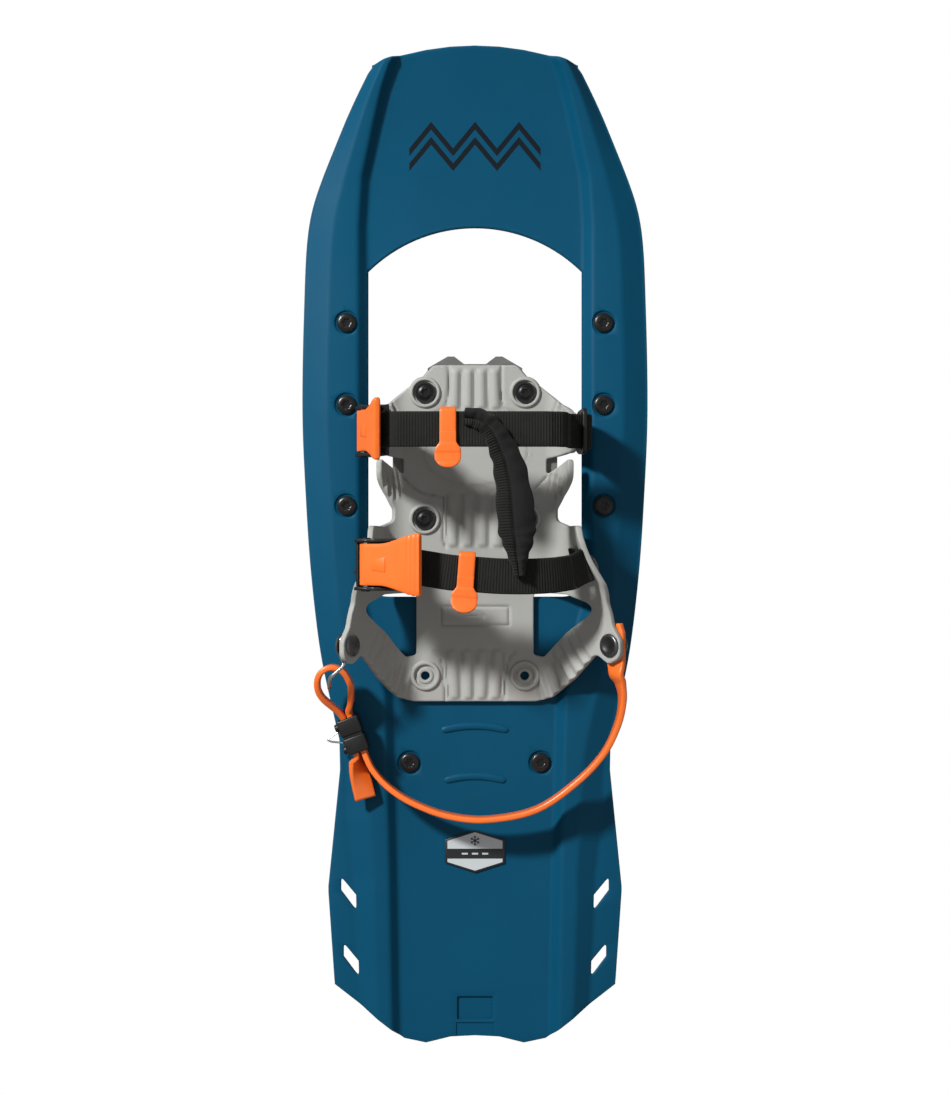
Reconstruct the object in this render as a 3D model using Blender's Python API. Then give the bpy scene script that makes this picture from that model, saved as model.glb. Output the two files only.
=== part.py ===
"""A moulded plastic snowshoe with a pivoting harness, steel traction and buckled straps.

Frame: +X to the wearer's right, +Y to the toe, +Z up, metres.  The origin is on the ground
under the middle of the deck.  The shoe rests on the tips of its traction teeth.
"""
import bpy
import bmesh
from math import asin, atan2, ceil, cos, pi, radians, sin, sqrt
from mathutils import Matrix, Vector

# ---- driving dimensions -------------------------------------------------------------
LENGTH = 0.584            # deck, tail to nose
WIDTH = 0.2036            # deck, at its widest
GAP = 0.0003              # between solids that touch
PLAY = 0.0008             # round a piece that slides or turns

DECK_WALL = 0.003
FLOOR_Z = 0.030           # top of the deck's centre floor
RAIL_RISE = 0.006         # side rails stand this much above the floor
STEP_RUN = 0.0053         # sloped inner wall of a side rail
SLOPE_RUN = 0.013         # sloped outer wall of a side rail
RIM = 0.0015              # narrow flat rim outside the slope
NOSE_LIFT = 0.024          # rocker of the nose
ROCKER_START = 0.150
NOSE_RADIUS = 0.170       # arc of the front edge, from above
ROW_PITCH = 0.0150        # spacing of the deck's cross sections

OPENING_HALF = WIDTH / 2 - 0.0389     # toe opening
OPENING_REAR = -0.028
OPENING_SIDE_END = 0.1636
OPENING_ARC = 0.090       # radius of its front edge
OPENING_CORNER = 0.012
LIP = 0.0006              # flat lip between the opening and the rail's inner wall

AXLE_Y = 0.069
AXLE_Z = 0.022
AXLE_R = 0.004
BUSH_R = 0.006

RAIL_SCREWS_Y = (0.133, 0.0848, 0.0255)
RAIL_SCREW_INSET = 0.0125   # outside the opening's edge
HEEL_SCREW_X = 0.0386
HEEL_SCREW_Y = -0.1258
SHANK_R = 0.002
HOLE_R = 0.0024
HEAD_R = 0.0058
HEAD_H = 0.0022
SEAT_R = 0.0069             # countersink round each deck screw
SEAT_DEPTH = 0.0012
SOCKET_R = 0.0021
NUT_R = 0.0041
NUT_H = 0.0032

TRACTION_T = 0.0025         # steel of the traction rails and the heel crampon
TRACTION_REAR = -0.002
TRACTION_FRONT = 0.150
TRACTION_FLANGE = 0.0126
TOOTH_PITCH = 0.0175
TOOTH_TIP = 0.004
TOOTH_DEPTH = 0.013
HEEL_CRAMPON_HALF = 0.056
HEEL_CRAMPON_FLANGE = 0.016
CLIP_R = 0.0068
CLIP_T = 0.0012

HARNESS_T = 0.0035
HARNESS_Z = FLOOR_Z + 0.0005          # underside of the foot bed
BEND_R = 0.018                        # curve between foot bed and wings
BED_HALF_TOE = 0.040                  # flat half width of the bed at the toe
BED_HALF_HEEL = 0.036
LEAN_TOE = radians(84)                # how steeply the wings stand at the toe
LEAN_HEEL = {-1: radians(57), 1: radians(46)}   # and at the heel, left and right
LEAN_FROM = {-1: 0.002, 1: 0.012}     # the lean changes from here back to LEAN_TO
LEAN_TO = -0.045
HARNESS_SCREWS = ((0.0294, 0.0921), (0.0296, 0.0178))
HEEL_RING = (0.0292, -0.0743)
SOLE_PAD = (0.033, 0.023)             # half lengths of the raised oval under the ball of the foot
SOLE_PAD_Y = 0.059
SOLE_PAD_RISE = 0.0006
HEEL_RING_HOLE_R = 0.0026

CRAMPON_T = 0.0022
CRAMPON_Z = HARNESS_Z - GAP - CRAMPON_T
CRAMPON_HALF = 0.0485
CRAMPON_REAR = 0.008
CRAMPON_FRONT = 0.105
CRAMPON_NECK = 0.028                  # half width where the claws bend down
CRAMPON_TAPER = 0.024
SIDE_TOOTH_PITCH = 0.0238
BUSH_LENGTH = 0.006
CLAW_VALLEY = (0.0065, -0.0140)       # corner of the flat between the claws
CLAW_REACH = 0.011                    # front claws reach this far ahead of their bend
TOOTH_TIP_Z = 0.001                   # toe crampon teeth end just above the ground

STRAP_W = 0.020
STRAP_T = 0.0016
TOE_STRAP_Y = 0.0675
TOE_STRAP_Z = 0.093
INSTEP_STRAP_Z = 0.101
LINK_HALF = 0.0100
LINK_T = 0.0036

BUCKLE_L = 0.030
BUCKLE_HALF = STRAP_W / 2 + 0.0045    # half width over the side walls
BUCKLE_WALL = 0.002
BUCKLE_H = 0.0105
PIN_R = 0.0015
PIN_AT = (0.009, 0.0082)              # pin along and above the buckle's base
LEVER_BARREL_R = 0.0035
TOE_BUCKLE_RISE = radians(67)         # slope of each buckle's base
INSTEP_BUCKLE_RISE = radians(30)
TOE_LEVER_L = 0.040                   # foot of the buckle to the free end of its lever
INSTEP_LEVER_L = 0.046
LEVER_FLARE = BUCKLE_HALF + 0.0027    # half width of the lever's free end
LEVER_T = 0.0035
FLARE_FROM = 0.020                    # from the pin to where the lever widens
TOE_RIVET_FLAT = (0.068, TOE_STRAP_Y)     # along the wing, from the bed's centre
TOE_WING_TOP = 0.075
INSTEP_WING_TOP = 0.100
WING_GAP = 0.0011                     # between a curved wing and the flat pieces on it
INSTEP_RIVET_FLAT = (0.090, -0.009)
HEEL_RIVET_FLAT = (0.0945, -0.055)
RIVET_R = 0.002
RIVET_HEAD_R = 0.0068
SMALL_HEAD_R = 0.0045                 # on the buckles and the toe anchor
PLATE_R = 0.0065                      # on the instep strap's end
RIVET_HEAD_H = 0.0016

HEEL_STRAP_W = 0.0125
HEEL_STRAP_T = 0.0034
KEEPER_WALL = 0.0016
KEEPER_LENGTH = 0.021

ANCHOR_T = 0.0025
ANCHOR_HALF = STRAP_W / 2 + 0.0035
ANCHOR_WINDOW = 0.0185                # window's height above the rivet, along the wing
ANCHOR_TOP = 0.0235

HINGE_Y = -0.0652                     # the heel strap bends here, behind the right rivet
STRAP_START = (0.0034, 0.0070)        # its first points, this far behind the bend
KEEPER_AT = Vector((-0.0687, -0.1070, 0.0452))     # centre of the outer run in the keeper
KEEPER_ALONG = Vector((0.356, -0.934, 0)).normalized()
RUN_PITCH = 0.0047                    # between the strap's two runs in the keeper
# Centre line of the heel strap: (x, y, z, tilt of its width from upright in degrees).
BACK_RUN = (
    (0.0872, -0.0775, 0.0635, -30), (0.0880, -0.0870, 0.0615, -16),
    (0.0830, -0.1010, 0.0590, -8), (0.0742, -0.1180, 0.0563, -5),
    (0.0590, -0.1345, 0.0540, -3), (0.0360, -0.1505, 0.0525, 0), (0.0083, -0.1565, 0.0515, 0),
    (-0.0146, -0.1548, 0.0505, 0), (-0.0345, -0.1480, 0.0490, 0),
    (-0.0487, -0.1395, 0.0475, 0), (-0.0590, -0.1290, 0.0460, 0),
)
HOOK_LOOP = (
    (-0.0722, -0.0880, 0.0495, 0), (-0.0720, -0.0785, 0.0550, 0),
    (-0.0762, -0.0705, 0.0590, 0), (-0.0830, -0.0680, 0.0605, 0),
    (-0.0890, -0.0715, 0.0600, 0), (-0.0908, -0.0785, 0.0575, 0),
    (-0.0880, -0.0860, 0.0535, 0),
)
STRAP_TAIL = ((-0.0695, -0.1240, 0.0442, 25), (-0.0665, -0.1350, 0.0430, 62),
              (-0.0640, -0.1455, 0.0420, 75))
HOOK_T = 0.0012

BADGE_HALF = 0.0175
BADGE_HEIGHT = 0.0252
BADGE_T = 0.0008
BADGE_Y = -0.1780
POCKET = (0.0208, 0.0135)
POCKET_FROM_TAIL = 0.0215             # tail end to the pocket's centre
POCKET_DEPTH = 0.0015
BARS = ((-0.1070, 0.0200), (-0.1367, 0.0184))   # moulded bars on the floor: place, half length
BAR_BOW = 0.0028
BAR_DEEP = 0.0022
BAR_RISE = 0.0012
SLOT_STARTS = (0.0988, 0.0598)        # tail end to each slot's front corner
SLOT_INSET = 0.0070
SLOT_SHAPE = ((0.0, 0.0), (-0.0088, -0.0106), (-0.0090, -0.0200), (0.0, -0.0080))

# Half width of the deck as (share of half the length, share of half the width).
SIDE = (
    (0.962, 0.588), (0.877, 0.742), (0.757, 0.885), (0.637, 0.966), (0.476, 0.991),
    (0.277, 1.000), (0.116, 0.982), (-0.045, 0.951), (-0.205, 0.897), (-0.325, 0.825),
    (-0.384, 0.786),
)
TAIL_SIDE = ((-0.384, 0.786), (-0.445, 0.782), (-0.685, 0.851), (-0.878, 0.813))
# Foot of the rail's inner wall, as (share of half the length, offset from the opening's edge).
CREASE = (
    (0.986, -0.0235), (0.910, -0.0140), (0.850, -0.0090), (0.750, -0.0020), (0.650, 0.0),
    (-0.110, 0.0), (-0.200, -0.0070), (-0.290, -0.0155), (-0.980, -0.0205),
)
# Width of the flat flange outside the slope, as (share of half the length, metres).
FLANGE = (
    (1.0, RIM), (-0.384, RIM), (-0.545, 0.0075), (-0.665, 0.0155), (-0.880, 0.0153),
)
# Tail edge: (distance from the centre line, distance ahead of the tail's end).
TAIL_EDGE = (
    (0.0, 0.0052), (0.0130, 0.0050), (0.0165, 0.0038), (0.0330, 0.0), (0.0370, 0.0),
    (0.0828, 0.0355),
)


# ---- helpers ------------------------------------------------------------------------
def clear_scene():
    for item in list(bpy.data.objects):
        bpy.data.objects.remove(item, do_unlink=True)


def material(name, colour, roughness, metallic=0.0):
    made = bpy.data.materials.new(name)
    made.use_nodes = True
    shader = made.node_tree.nodes["Principled BSDF"]
    shader.inputs["Base Color"].default_value = (*colour, 1.0)
    shader.inputs["Roughness"].default_value = roughness
    shader.inputs["Metallic"].default_value = metallic
    return made


def along(points, place):
    """Straight-line value at a place in a list of (place, value), in either order."""
    ordered = sorted(points)
    if place <= ordered[0][0]:
        return ordered[0][1]
    for (a, va), (b, vb) in zip(ordered, ordered[1:]):
        if place <= b:
            return va + (vb - va) * (place - a) / (b - a)
    return ordered[-1][1]


def ease(t):
    t = min(max(t, 0.0), 1.0)
    return t * t * (3.0 - 2.0 * t)


def catmull(p0, p1, p2, p3, t):
    return 0.5 * (2 * p1 + (p2 - p0) * t + (2 * p0 - 5 * p1 + 4 * p2 - p3) * t * t
                  + (3 * p1 - p0 - 3 * p2 + p3) * t ** 3)


def smooth_path(points, steps):
    """Points on a Catmull-Rom curve through tuples of any length."""
    rows = [points[0], *points, points[-1]]
    out = []
    for k in range(len(points) - 1):
        p0, p1, p2, p3 = rows[k:k + 4]
        for j in range(steps):
            out.append(tuple(catmull(a, b, c, d, j / steps)
                             for a, b, c, d in zip(p0, p1, p2, p3)))
    out.append(tuple(points[-1]))
    return out


SMOOTH_SIDE = [(y, x) for y, x in smooth_path(SIDE, 4)]


def rounded(corners, segments=3):
    """Outline with an arc at each (x, y, radius) corner."""
    out = []
    count = len(corners)
    for k in range(count):
        x, y, radius = corners[k]
        here = Vector((x, y))
        back = Vector(corners[k - 1][:2]) - here
        ahead = Vector(corners[(k + 1) % count][:2]) - here
        if radius <= 0.0:
            out.append((x, y))
            continue
        half = back.angle(ahead) / 2.0
        reach = min(radius / max(sin(half) / cos(half), 1e-6),
                    0.49 * back.length, 0.49 * ahead.length)
        start = here + back.normalized() * reach
        end = here + ahead.normalized() * reach
        for j in range(segments + 1):
            t = j / segments
            point = start * (1 - t) ** 2 + here * 2 * t * (1 - t) + end * t * t
            out.append((point.x, point.y))
    return out


def circle(cx, cy, radius, count=12):
    return [(cx + radius * cos(2 * pi * k / count), cy + radius * sin(2 * pi * k / count))
            for k in range(count)]


def frame_at(origin, along_u, across_v, up_w):
    """Matrix whose columns are three directions and an origin."""
    made = Matrix.Identity(4)
    for k, column in enumerate((along_u, across_v, up_w)):
        made.col[k] = (*column, 0.0)
    made.col[3] = (*origin, 1.0)
    return made


def prism(outline, low, high, place=None):
    """Closed prism of an outline in X and Y between two heights, moved by a matrix."""
    made = bmesh.new()
    base = [made.verts.new((x, y, low)) for x, y in outline]
    face = made.faces.new(base)
    lifted = bmesh.ops.extrude_face_region(made, geom=[face])
    tops = [item for item in lifted["geom"] if isinstance(item, bmesh.types.BMVert)]
    bmesh.ops.translate(made, vec=(0, 0, high - low), verts=tops)
    return finish(made, place)


def finish(made, place=None):
    if place is not None:
        bmesh.ops.transform(made, matrix=place, verts=made.verts)
    bmesh.ops.recalc_face_normals(made, faces=made.faces)
    return made


def block(low, high):
    (x0, y0, z0), (x1, y1, z1) = low, high
    return prism([(x0, y0), (x1, y0), (x1, y1), (x0, y1)], z0, z1)


def turned(profile, place=None, count=12):
    """Solid of revolution about Z of (radius, height) points; it starts and ends at radius 0
    for a closed solid, or is a closed loop of points for a ring."""
    made = bmesh.new()
    ring = profile[0][0] > 0.0
    rows = []
    for radius, height in profile:
        if radius == 0.0:
            rows.append([made.verts.new((0, 0, height))] * count)
        else:
            rows.append([made.verts.new((x, y, height)) for x, y in circle(0, 0, radius, count)])
    pairs = list(zip(rows, rows[1:]))
    if ring:
        pairs.append((rows[-1], rows[0]))
    for low, high in pairs:
        for k in range(count):
            j = (k + 1) % count
            corners = []
            for corner in (low[k], low[j], high[j], high[k]):
                if corner not in corners:
                    corners.append(corner)
            made.faces.new(corners)
    return finish(made, place)


def rod(centre, direction, radius, length, count=16):
    axis = Vector(direction).normalized()
    place = Matrix.Translation(centre) @ axis.to_track_quat("Z", "Y").to_matrix().to_4x4()
    half = length / 2
    return turned([(0.0, -half), (radius, -half), (radius, half), (0.0, half)], place, count)


def sweep(stations):
    """Strap along stations of (point, width direction, half width, half thickness)."""
    made = bmesh.new()
    rows = []
    for k, (point, across, half_w, half_t) in enumerate(stations):
        before = Vector(stations[max(k - 1, 0)][0])
        after = Vector(stations[min(k + 1, len(stations) - 1)][0])
        forward = (after - before).normalized()
        side = Vector(across)
        side = (side - forward * side.dot(forward)).normalized()
        up = forward.cross(side)
        point = Vector(point)
        rows.append([made.verts.new(point + side * a * half_w + up * b * half_t)
                     for a, b in ((-1, -1), (1, -1), (1, 1), (-1, 1))])
    for low, high in zip(rows, rows[1:]):
        for k in range(4):
            j = (k + 1) % 4
            made.faces.new((low[k], low[j], high[j], high[k]))
    made.faces.new(rows[0])
    made.faces.new(rows[-1])
    return finish(made)


def wire(points, radius, steps=4, count=8):
    """Round wire along a smooth curve through points."""
    path = [Vector(point) for point in smooth_path(points, steps)]
    made = bmesh.new()
    rows = []
    side = None
    for k, point in enumerate(path):
        forward = (path[min(k + 1, len(path) - 1)] - path[max(k - 1, 0)]).normalized()
        if side is None:
            side = forward.orthogonal().normalized()
        side = (side - forward * side.dot(forward)).normalized()
        up = forward.cross(side)
        rows.append([made.verts.new(point + (side * cos(2 * pi * j / count)
                                             + up * sin(2 * pi * j / count)) * radius)
                     for j in range(count)])
    for low, high in zip(rows, rows[1:]):
        for k in range(count):
            j = (k + 1) % count
            made.faces.new((low[k], low[j], high[j], high[k]))
    made.faces.new(rows[0])
    made.faces.new(rows[-1])
    return finish(made)


def keep(name, made, finish_with, pivot=None, smooth=True):
    """Object from a mesh in world coordinates; its origin goes to the pivot's place."""
    mesh = bpy.data.meshes.new(name)
    origin = pivot.location.copy() if pivot else Vector((0, 0, 0))
    bmesh.ops.translate(made, vec=-origin, verts=made.verts)
    made.to_mesh(mesh)
    made.free()
    item = bpy.data.objects.new(name, mesh)
    bpy.context.collection.objects.link(item)
    if pivot:
        item.parent = pivot
    mesh.materials.append(finish_with)
    if smooth:
        mesh.shade_smooth()
        mesh.set_sharp_from_angle(angle=radians(32))
    return item


def pivot_at(name, place):
    item = bpy.data.objects.new(name, None)
    item.location = place
    bpy.context.collection.objects.link(item)
    return item


def merge(pieces):
    """One mesh of several separate closed bodies."""
    whole = pieces[0]
    for piece in pieces[1:]:
        spare = bpy.data.meshes.new("spare")
        piece.to_mesh(spare)
        piece.free()
        whole.from_mesh(spare)
        bpy.data.meshes.remove(spare)
    return whole


def boolean(item, tool, operation):
    """Cut or join a mesh with an EXACT Boolean; the tool stays as a hidden guide."""
    mesh = bpy.data.meshes.new(item.name + "_tool")
    if item.parent:
        bmesh.ops.translate(tool, vec=-item.parent.location, verts=tool.verts)
    tool.to_mesh(mesh)
    tool.free()
    guide = bpy.data.objects.new(item.name + "_tool_" + str(len(item.modifiers)), mesh)
    bpy.context.collection.objects.link(guide)
    guide.parent = item.parent
    guide.hide_render = True
    guide.display_type = "WIRE"
    step = item.modifiers.new(operation.lower(), "BOOLEAN")
    step.operation = operation
    step.solver = "EXACT"
    step.object = guide


# ---- deck ---------------------------------------------------------------------------
def half_width(y):
    share = y / (LENGTH / 2)
    points = SMOOTH_SIDE if share > SIDE[-1][0] else TAIL_SIDE
    return along(points, share) * WIDTH / 2


def crease(y):
    return OPENING_HALF + LIP + along(CREASE, y / (LENGTH / 2))


def floor_z(y):
    run = LENGTH / 2 - ROCKER_START
    lift = max(y - ROCKER_START, 0.0) / run
    return FLOOR_Z + NOSE_LIFT * lift * lift


def deck_columns(y):
    """(x, height above the floor) of the deck's top surface, centre to edge."""
    edge = half_width(y)
    foot = edge - along(FLANGE, y / (LENGTH / 2))
    inner = min(crease(y), foot - STEP_RUN - 0.004)
    top_in = inner + STEP_RUN
    slope = min(SLOPE_RUN, 0.55 * (foot - top_in))
    top_out = foot - slope
    return [
        (0.0, 0.0), (inner * 0.4, 0.0), (inner * 0.75, 0.0), (inner, 0.0),
        (top_in, RAIL_RISE), ((top_in + top_out) / 2, RAIL_RISE),
        (top_out, RAIL_RISE), (foot, 0.0), ((foot + edge) / 2, 0.0), (edge, 0.0),
    ]


def nose_edge(x):
    return LENGTH / 2 - (NOSE_RADIUS - sqrt(NOSE_RADIUS ** 2 - x * x))


def deck_surface(y_line, x):
    """Place along the deck of a point on one cross line; the ends follow the end edges."""
    nose_y = SIDE[0][0] * LENGTH / 2
    tail_y = TAIL_SIDE[-1][0] * LENGTH / 2
    to_nose = ease((y_line - 0.66 * nose_y) / (0.34 * nose_y))
    to_tail = ease((y_line - 0.70 * tail_y) / (0.30 * tail_y))
    tail_edge = -LENGTH / 2 + along(TAIL_EDGE, abs(x))
    nose_gain = nose_edge(x) - nose_edge(half_width(nose_y))
    return y_line + to_nose * nose_gain + to_tail * (tail_edge - tail_y)


def deck_rows():
    start = TAIL_SIDE[-1][0] * LENGTH / 2
    end = SIDE[0][0] * LENGTH / 2
    count = ceil((end - start) / ROW_PITCH)
    return [start + (end - start) * k / count for k in range(count + 1)]


def deck_mesh():
    made = bmesh.new()
    tops = []
    bottoms = []
    for y_line in deck_rows():
        half = deck_columns(y_line)
        across = [(-x, h) for x, h in reversed(half[1:])] + half
        top = []
        for x, height in across:
            y = deck_surface(y_line, x)
            top.append(made.verts.new((x, y, floor_z(y) + height)))
        tops.append(top)
        bottoms.append([made.verts.new(v.co - Vector((0, 0, DECK_WALL))) for v in top])
    columns = len(tops[0])
    for low, high, low_b, high_b in zip(tops, tops[1:], bottoms, bottoms[1:]):
        for k in range(columns - 1):
            made.faces.new((low[k], low[k + 1], high[k + 1], high[k]))
            made.faces.new((low_b[k], high_b[k], high_b[k + 1], low_b[k + 1]))
        for k in (0, columns - 1):
            made.faces.new((low[k], high[k], high_b[k], low_b[k]))
    for row, under in ((tops[0], bottoms[0]), (tops[-1], bottoms[-1])):
        for k in range(columns - 1):
            made.faces.new((row[k], row[k + 1], under[k + 1], under[k]))
    return finish(made)


def opening_outline():
    """Toe opening: straight sides, an arc in front and two rounded rear corners."""
    half = OPENING_HALF
    sweep_angle = asin(half / OPENING_ARC)
    centre_y = OPENING_SIDE_END - OPENING_ARC * cos(sweep_angle)
    front = []
    steps = 12
    for k in range(steps + 1):
        angle = sweep_angle * (1 - 2 * k / steps)
        front.append((OPENING_ARC * sin(angle), centre_y + OPENING_ARC * cos(angle), 0.0))
    rear = [(-half, OPENING_REAR, OPENING_CORNER), (half, OPENING_REAR, OPENING_CORNER)]
    return rounded(front + rear, 4)


def slot_outlines():
    """Four slanted slots in the tail's side flanges, placed from the tail's end and edge."""
    out = []
    for start in SLOT_STARTS:
        y = -LENGTH / 2 + start
        outer = half_width(y) - SLOT_INSET
        shape = [(outer + across, y + back) for across, back in SLOT_SHAPE]
        out.append(shape)
        out.append([(-x, v) for x, v in shape])
    return out


def deck_screw_places():
    """(x, y, deck top, thickness below the head) for each screw through the deck."""
    x = OPENING_HALF + RAIL_SCREW_INSET
    rails = [(side * x, y, FLOOR_Z + RAIL_RISE) for y in RAIL_SCREWS_Y for side in (-1, 1)]
    heels = [(side * HEEL_SCREW_X, HEEL_SCREW_Y, FLOOR_Z) for side in (-1, 1)]
    return rails, heels


def arc_bar(y, half):
    """Low moulded bar, bowed to the toe, on the deck floor under the heel."""
    steps = 8
    line = [(half * (2 * k / steps - 1)) for k in range(steps + 1)]
    front = [(x, y + BAR_BOW * (1 - (x / half) ** 2) + BAR_DEEP) for x in line]
    rear = [(x, y + BAR_BOW * (1 - (x / half) ** 2) - BAR_DEEP) for x in reversed(line)]
    return prism(front + rear, FLOOR_Z - DECK_WALL / 2, FLOOR_Z + BAR_RISE)


def build_deck(finish_with):
    deck = keep("deck", deck_mesh(), finish_with)
    for y, half in BARS:
        boolean(deck, arc_bar(y, half), "UNION")
    cuts = [prism(opening_outline(), 0.0, 0.2)]
    cuts += [prism(outline, 0.0, 0.2) for outline in slot_outlines()]
    rails, heels = deck_screw_places()
    for x, y, top in rails + heels:
        seat = top - SEAT_DEPTH
        profile = [(0.0, 0.0), (HOLE_R, 0.0), (HOLE_R, seat), (SEAT_R, seat),
                   (SEAT_R, top + 0.01), (0.0, top + 0.01)]
        cuts.append(turned(profile, Matrix.Translation((x, y, 0.0)), 20))
    pocket_y = -LENGTH / 2 + POCKET_FROM_TAIL
    cuts.append(block((-POCKET[0] / 2, pocket_y - POCKET[1] / 2, FLOOR_Z - POCKET_DEPTH),
                      (POCKET[0] / 2, pocket_y + POCKET[1] / 2, FLOOR_Z + 0.01)))
    boolean(deck, merge(cuts), "DIFFERENCE")
    return deck


def build_badge(finish_with):
    half = BADGE_HALF
    rise = BADGE_HEIGHT / 2
    outline = [(0, rise), (-half, rise * 0.55), (-half, -rise * 0.55),
               (0, -rise), (half, -rise * 0.55), (half, rise * 0.55)]
    place = Matrix.Translation((0, BADGE_Y, 0))
    low = FLOOR_Z + GAP
    keep("size_badge", prism(outline, low, low + BADGE_T, place), finish_with, smooth=False)


# ---- screws, nuts, rivets -----------------------------------------------------------
def screw(name, x, y, seat, grip, finish_with, pivot=None):
    """Cap screw with its head on a seat and its shank through the grip and the nut."""
    end = seat - grip - NUT_H - 0.001
    low = seat + GAP
    high = low + HEAD_H
    profile = [(0.0, end), (SHANK_R, end), (SHANK_R, low), (HEAD_R, low),
               (HEAD_R, high - 0.0005), (HEAD_R - 0.0006, high), (SOCKET_R, high),
               (SOCKET_R, high - 0.0014), (0.0, high - 0.0014)]
    return keep(name, turned(profile, Matrix.Translation((x, y, 0))), finish_with, pivot)


def nut(name, x, y, top, finish_with, pivot=None):
    made = bmesh.new()
    inner = SHANK_R + GAP
    rows = []
    for radius, height in ((NUT_R, top - NUT_H), (NUT_R, top), (inner, top), (inner, top - NUT_H)):
        count = 12
        row = []
        for k in range(count):
            angle = 2 * pi * k / count
            flat = cos(pi / 6) if radius == NUT_R and k % 2 else 1.0
            row.append(made.verts.new((x + radius * flat * cos(angle),
                                       y + radius * flat * sin(angle), height)))
        rows.append(row)
    for low, high in zip(rows, rows[1:] + rows[:1]):
        for k in range(12):
            j = (k + 1) % 12
            made.faces.new((low[k], low[j], high[j], high[k]))
    return keep(name, finish(made), finish_with, pivot, smooth=False)


def rivet(name, point, direction, grip, finish_with, pivot, head_r=RIVET_HEAD_R):
    """Rivet from a head on the far side of the grip to a head at the point's side."""
    axis = Vector(direction).normalized()
    place = Matrix.Translation(point) @ axis.to_track_quat("Z", "Y").to_matrix().to_4x4()
    head = RIVET_HEAD_H
    low = -grip - GAP
    high = GAP
    profile = [(0.0, low - head), (head_r * 0.8, low - head), (head_r * 0.9, low),
               (RIVET_R, low), (RIVET_R, high), (head_r, high),
               (head_r, high + head * 0.5), (head_r * 0.75, high + head), (0.0, high + head)]
    return keep(name, turned(profile, place), finish_with, pivot)


# ---- traction -----------------------------------------------------------------------
def toothed_line(start, end, pitch, tip_z, valley_z, top_z):
    """Outline of a toothed blade: a straight top, and teeth with flat tips below."""
    count = max(int(round((end - start) / pitch)), 1)
    step = (end - start) / count
    points = [(start, top_z)]
    for k in range(count):
        left = start + k * step
        points.append((left, valley_z))
        points.append((left + (step - TOOTH_TIP) / 2, tip_z))
        points.append((left + (step + TOOTH_TIP) / 2, tip_z))
    points.append((end, valley_z))
    points.append((end, top_z))
    return points


def build_traction_rail(side, name, finish_with):
    """Angle under a side rail: a flange up in the hollow and a toothed blade down."""
    top = FLOOR_Z + RAIL_RISE - DECK_WALL - GAP
    screw_x = OPENING_HALF + RAIL_SCREW_INSET
    inner = screw_x - 0.0050
    outer = inner + TRACTION_FLANGE
    blade = toothed_line(TRACTION_REAR, TRACTION_FRONT, TOOTH_PITCH, 0.0, TOOTH_DEPTH, top)
    upright = frame_at((0, 0, 0), (0, 1, 0), (0, 0, 1), (1, 0, 0))
    x0, x1 = sorted((side * (outer - TRACTION_T), side * outer))
    rail = keep(name, prism(blade, x0, x1, upright), finish_with, smooth=False)
    f0, f1 = sorted((side * inner, side * (outer - TRACTION_T / 2)))
    boolean(rail, block((f0, TRACTION_REAR, top - TRACTION_T), (f1, TRACTION_FRONT, top)), "UNION")
    cuts = [rod((side * screw_x, y, top), (0, 0, 1), HOLE_R, 0.02, 12) for y in RAIL_SCREWS_Y]
    cuts.append(rod((side * outer, AXLE_Y, AXLE_Z), (1, 0, 0), AXLE_R + GAP, 0.012, 20))
    boolean(rail, merge(cuts), "DIFFERENCE")
    return outer


def build_axle(outer, steel, finish_with):
    end = outer + CLIP_T + 3 * GAP
    keep("pivot_axle", rod((0, AXLE_Y, AXLE_Z), (1, 0, 0), AXLE_R, 2 * end + 0.002, 24), steel)
    for side, name in ((-1, "axle_clip_left"), (1, "axle_clip_right")):
        x = side * (outer + 1.5 * GAP + CLIP_T / 2)
        half = CLIP_T / 2
        inner = AXLE_R + GAP
        profile = [(inner, -half), (CLIP_R, -half), (CLIP_R, half), (inner, half)]
        place = frame_at((x, AXLE_Y, AXLE_Z), (0, 1, 0), (0, 0, 1), (1, 0, 0))
        keep(name, turned(profile, place, 20), finish_with)


def build_heel_crampon(finish_with):
    top = FLOOR_Z - DECK_WALL - GAP
    half = HEEL_CRAMPON_HALF
    outline = toothed_line(-half, half, TOOTH_PITCH, 0.0, TOOTH_DEPTH, top)
    front = HEEL_SCREW_Y + HEEL_CRAMPON_FLANGE / 2
    upright = frame_at((0, 0, 0), (1, 0, 0), (0, 0, 1), (0, -1, 0))
    crampon = keep("heel_crampon", prism(outline, -front, -front + TRACTION_T, upright),
                   finish_with, smooth=False)
    boolean(crampon, block((-half, front - HEEL_CRAMPON_FLANGE, top - TRACTION_T),
                           (half, front - TRACTION_T / 2, top)), "UNION")
    cuts = [rod((side * HEEL_SCREW_X, HEEL_SCREW_Y, top), (0, 0, 1), HOLE_R, 0.02, 12)
            for side in (-1, 1)]
    boolean(crampon, merge(cuts), "DIFFERENCE")


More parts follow.
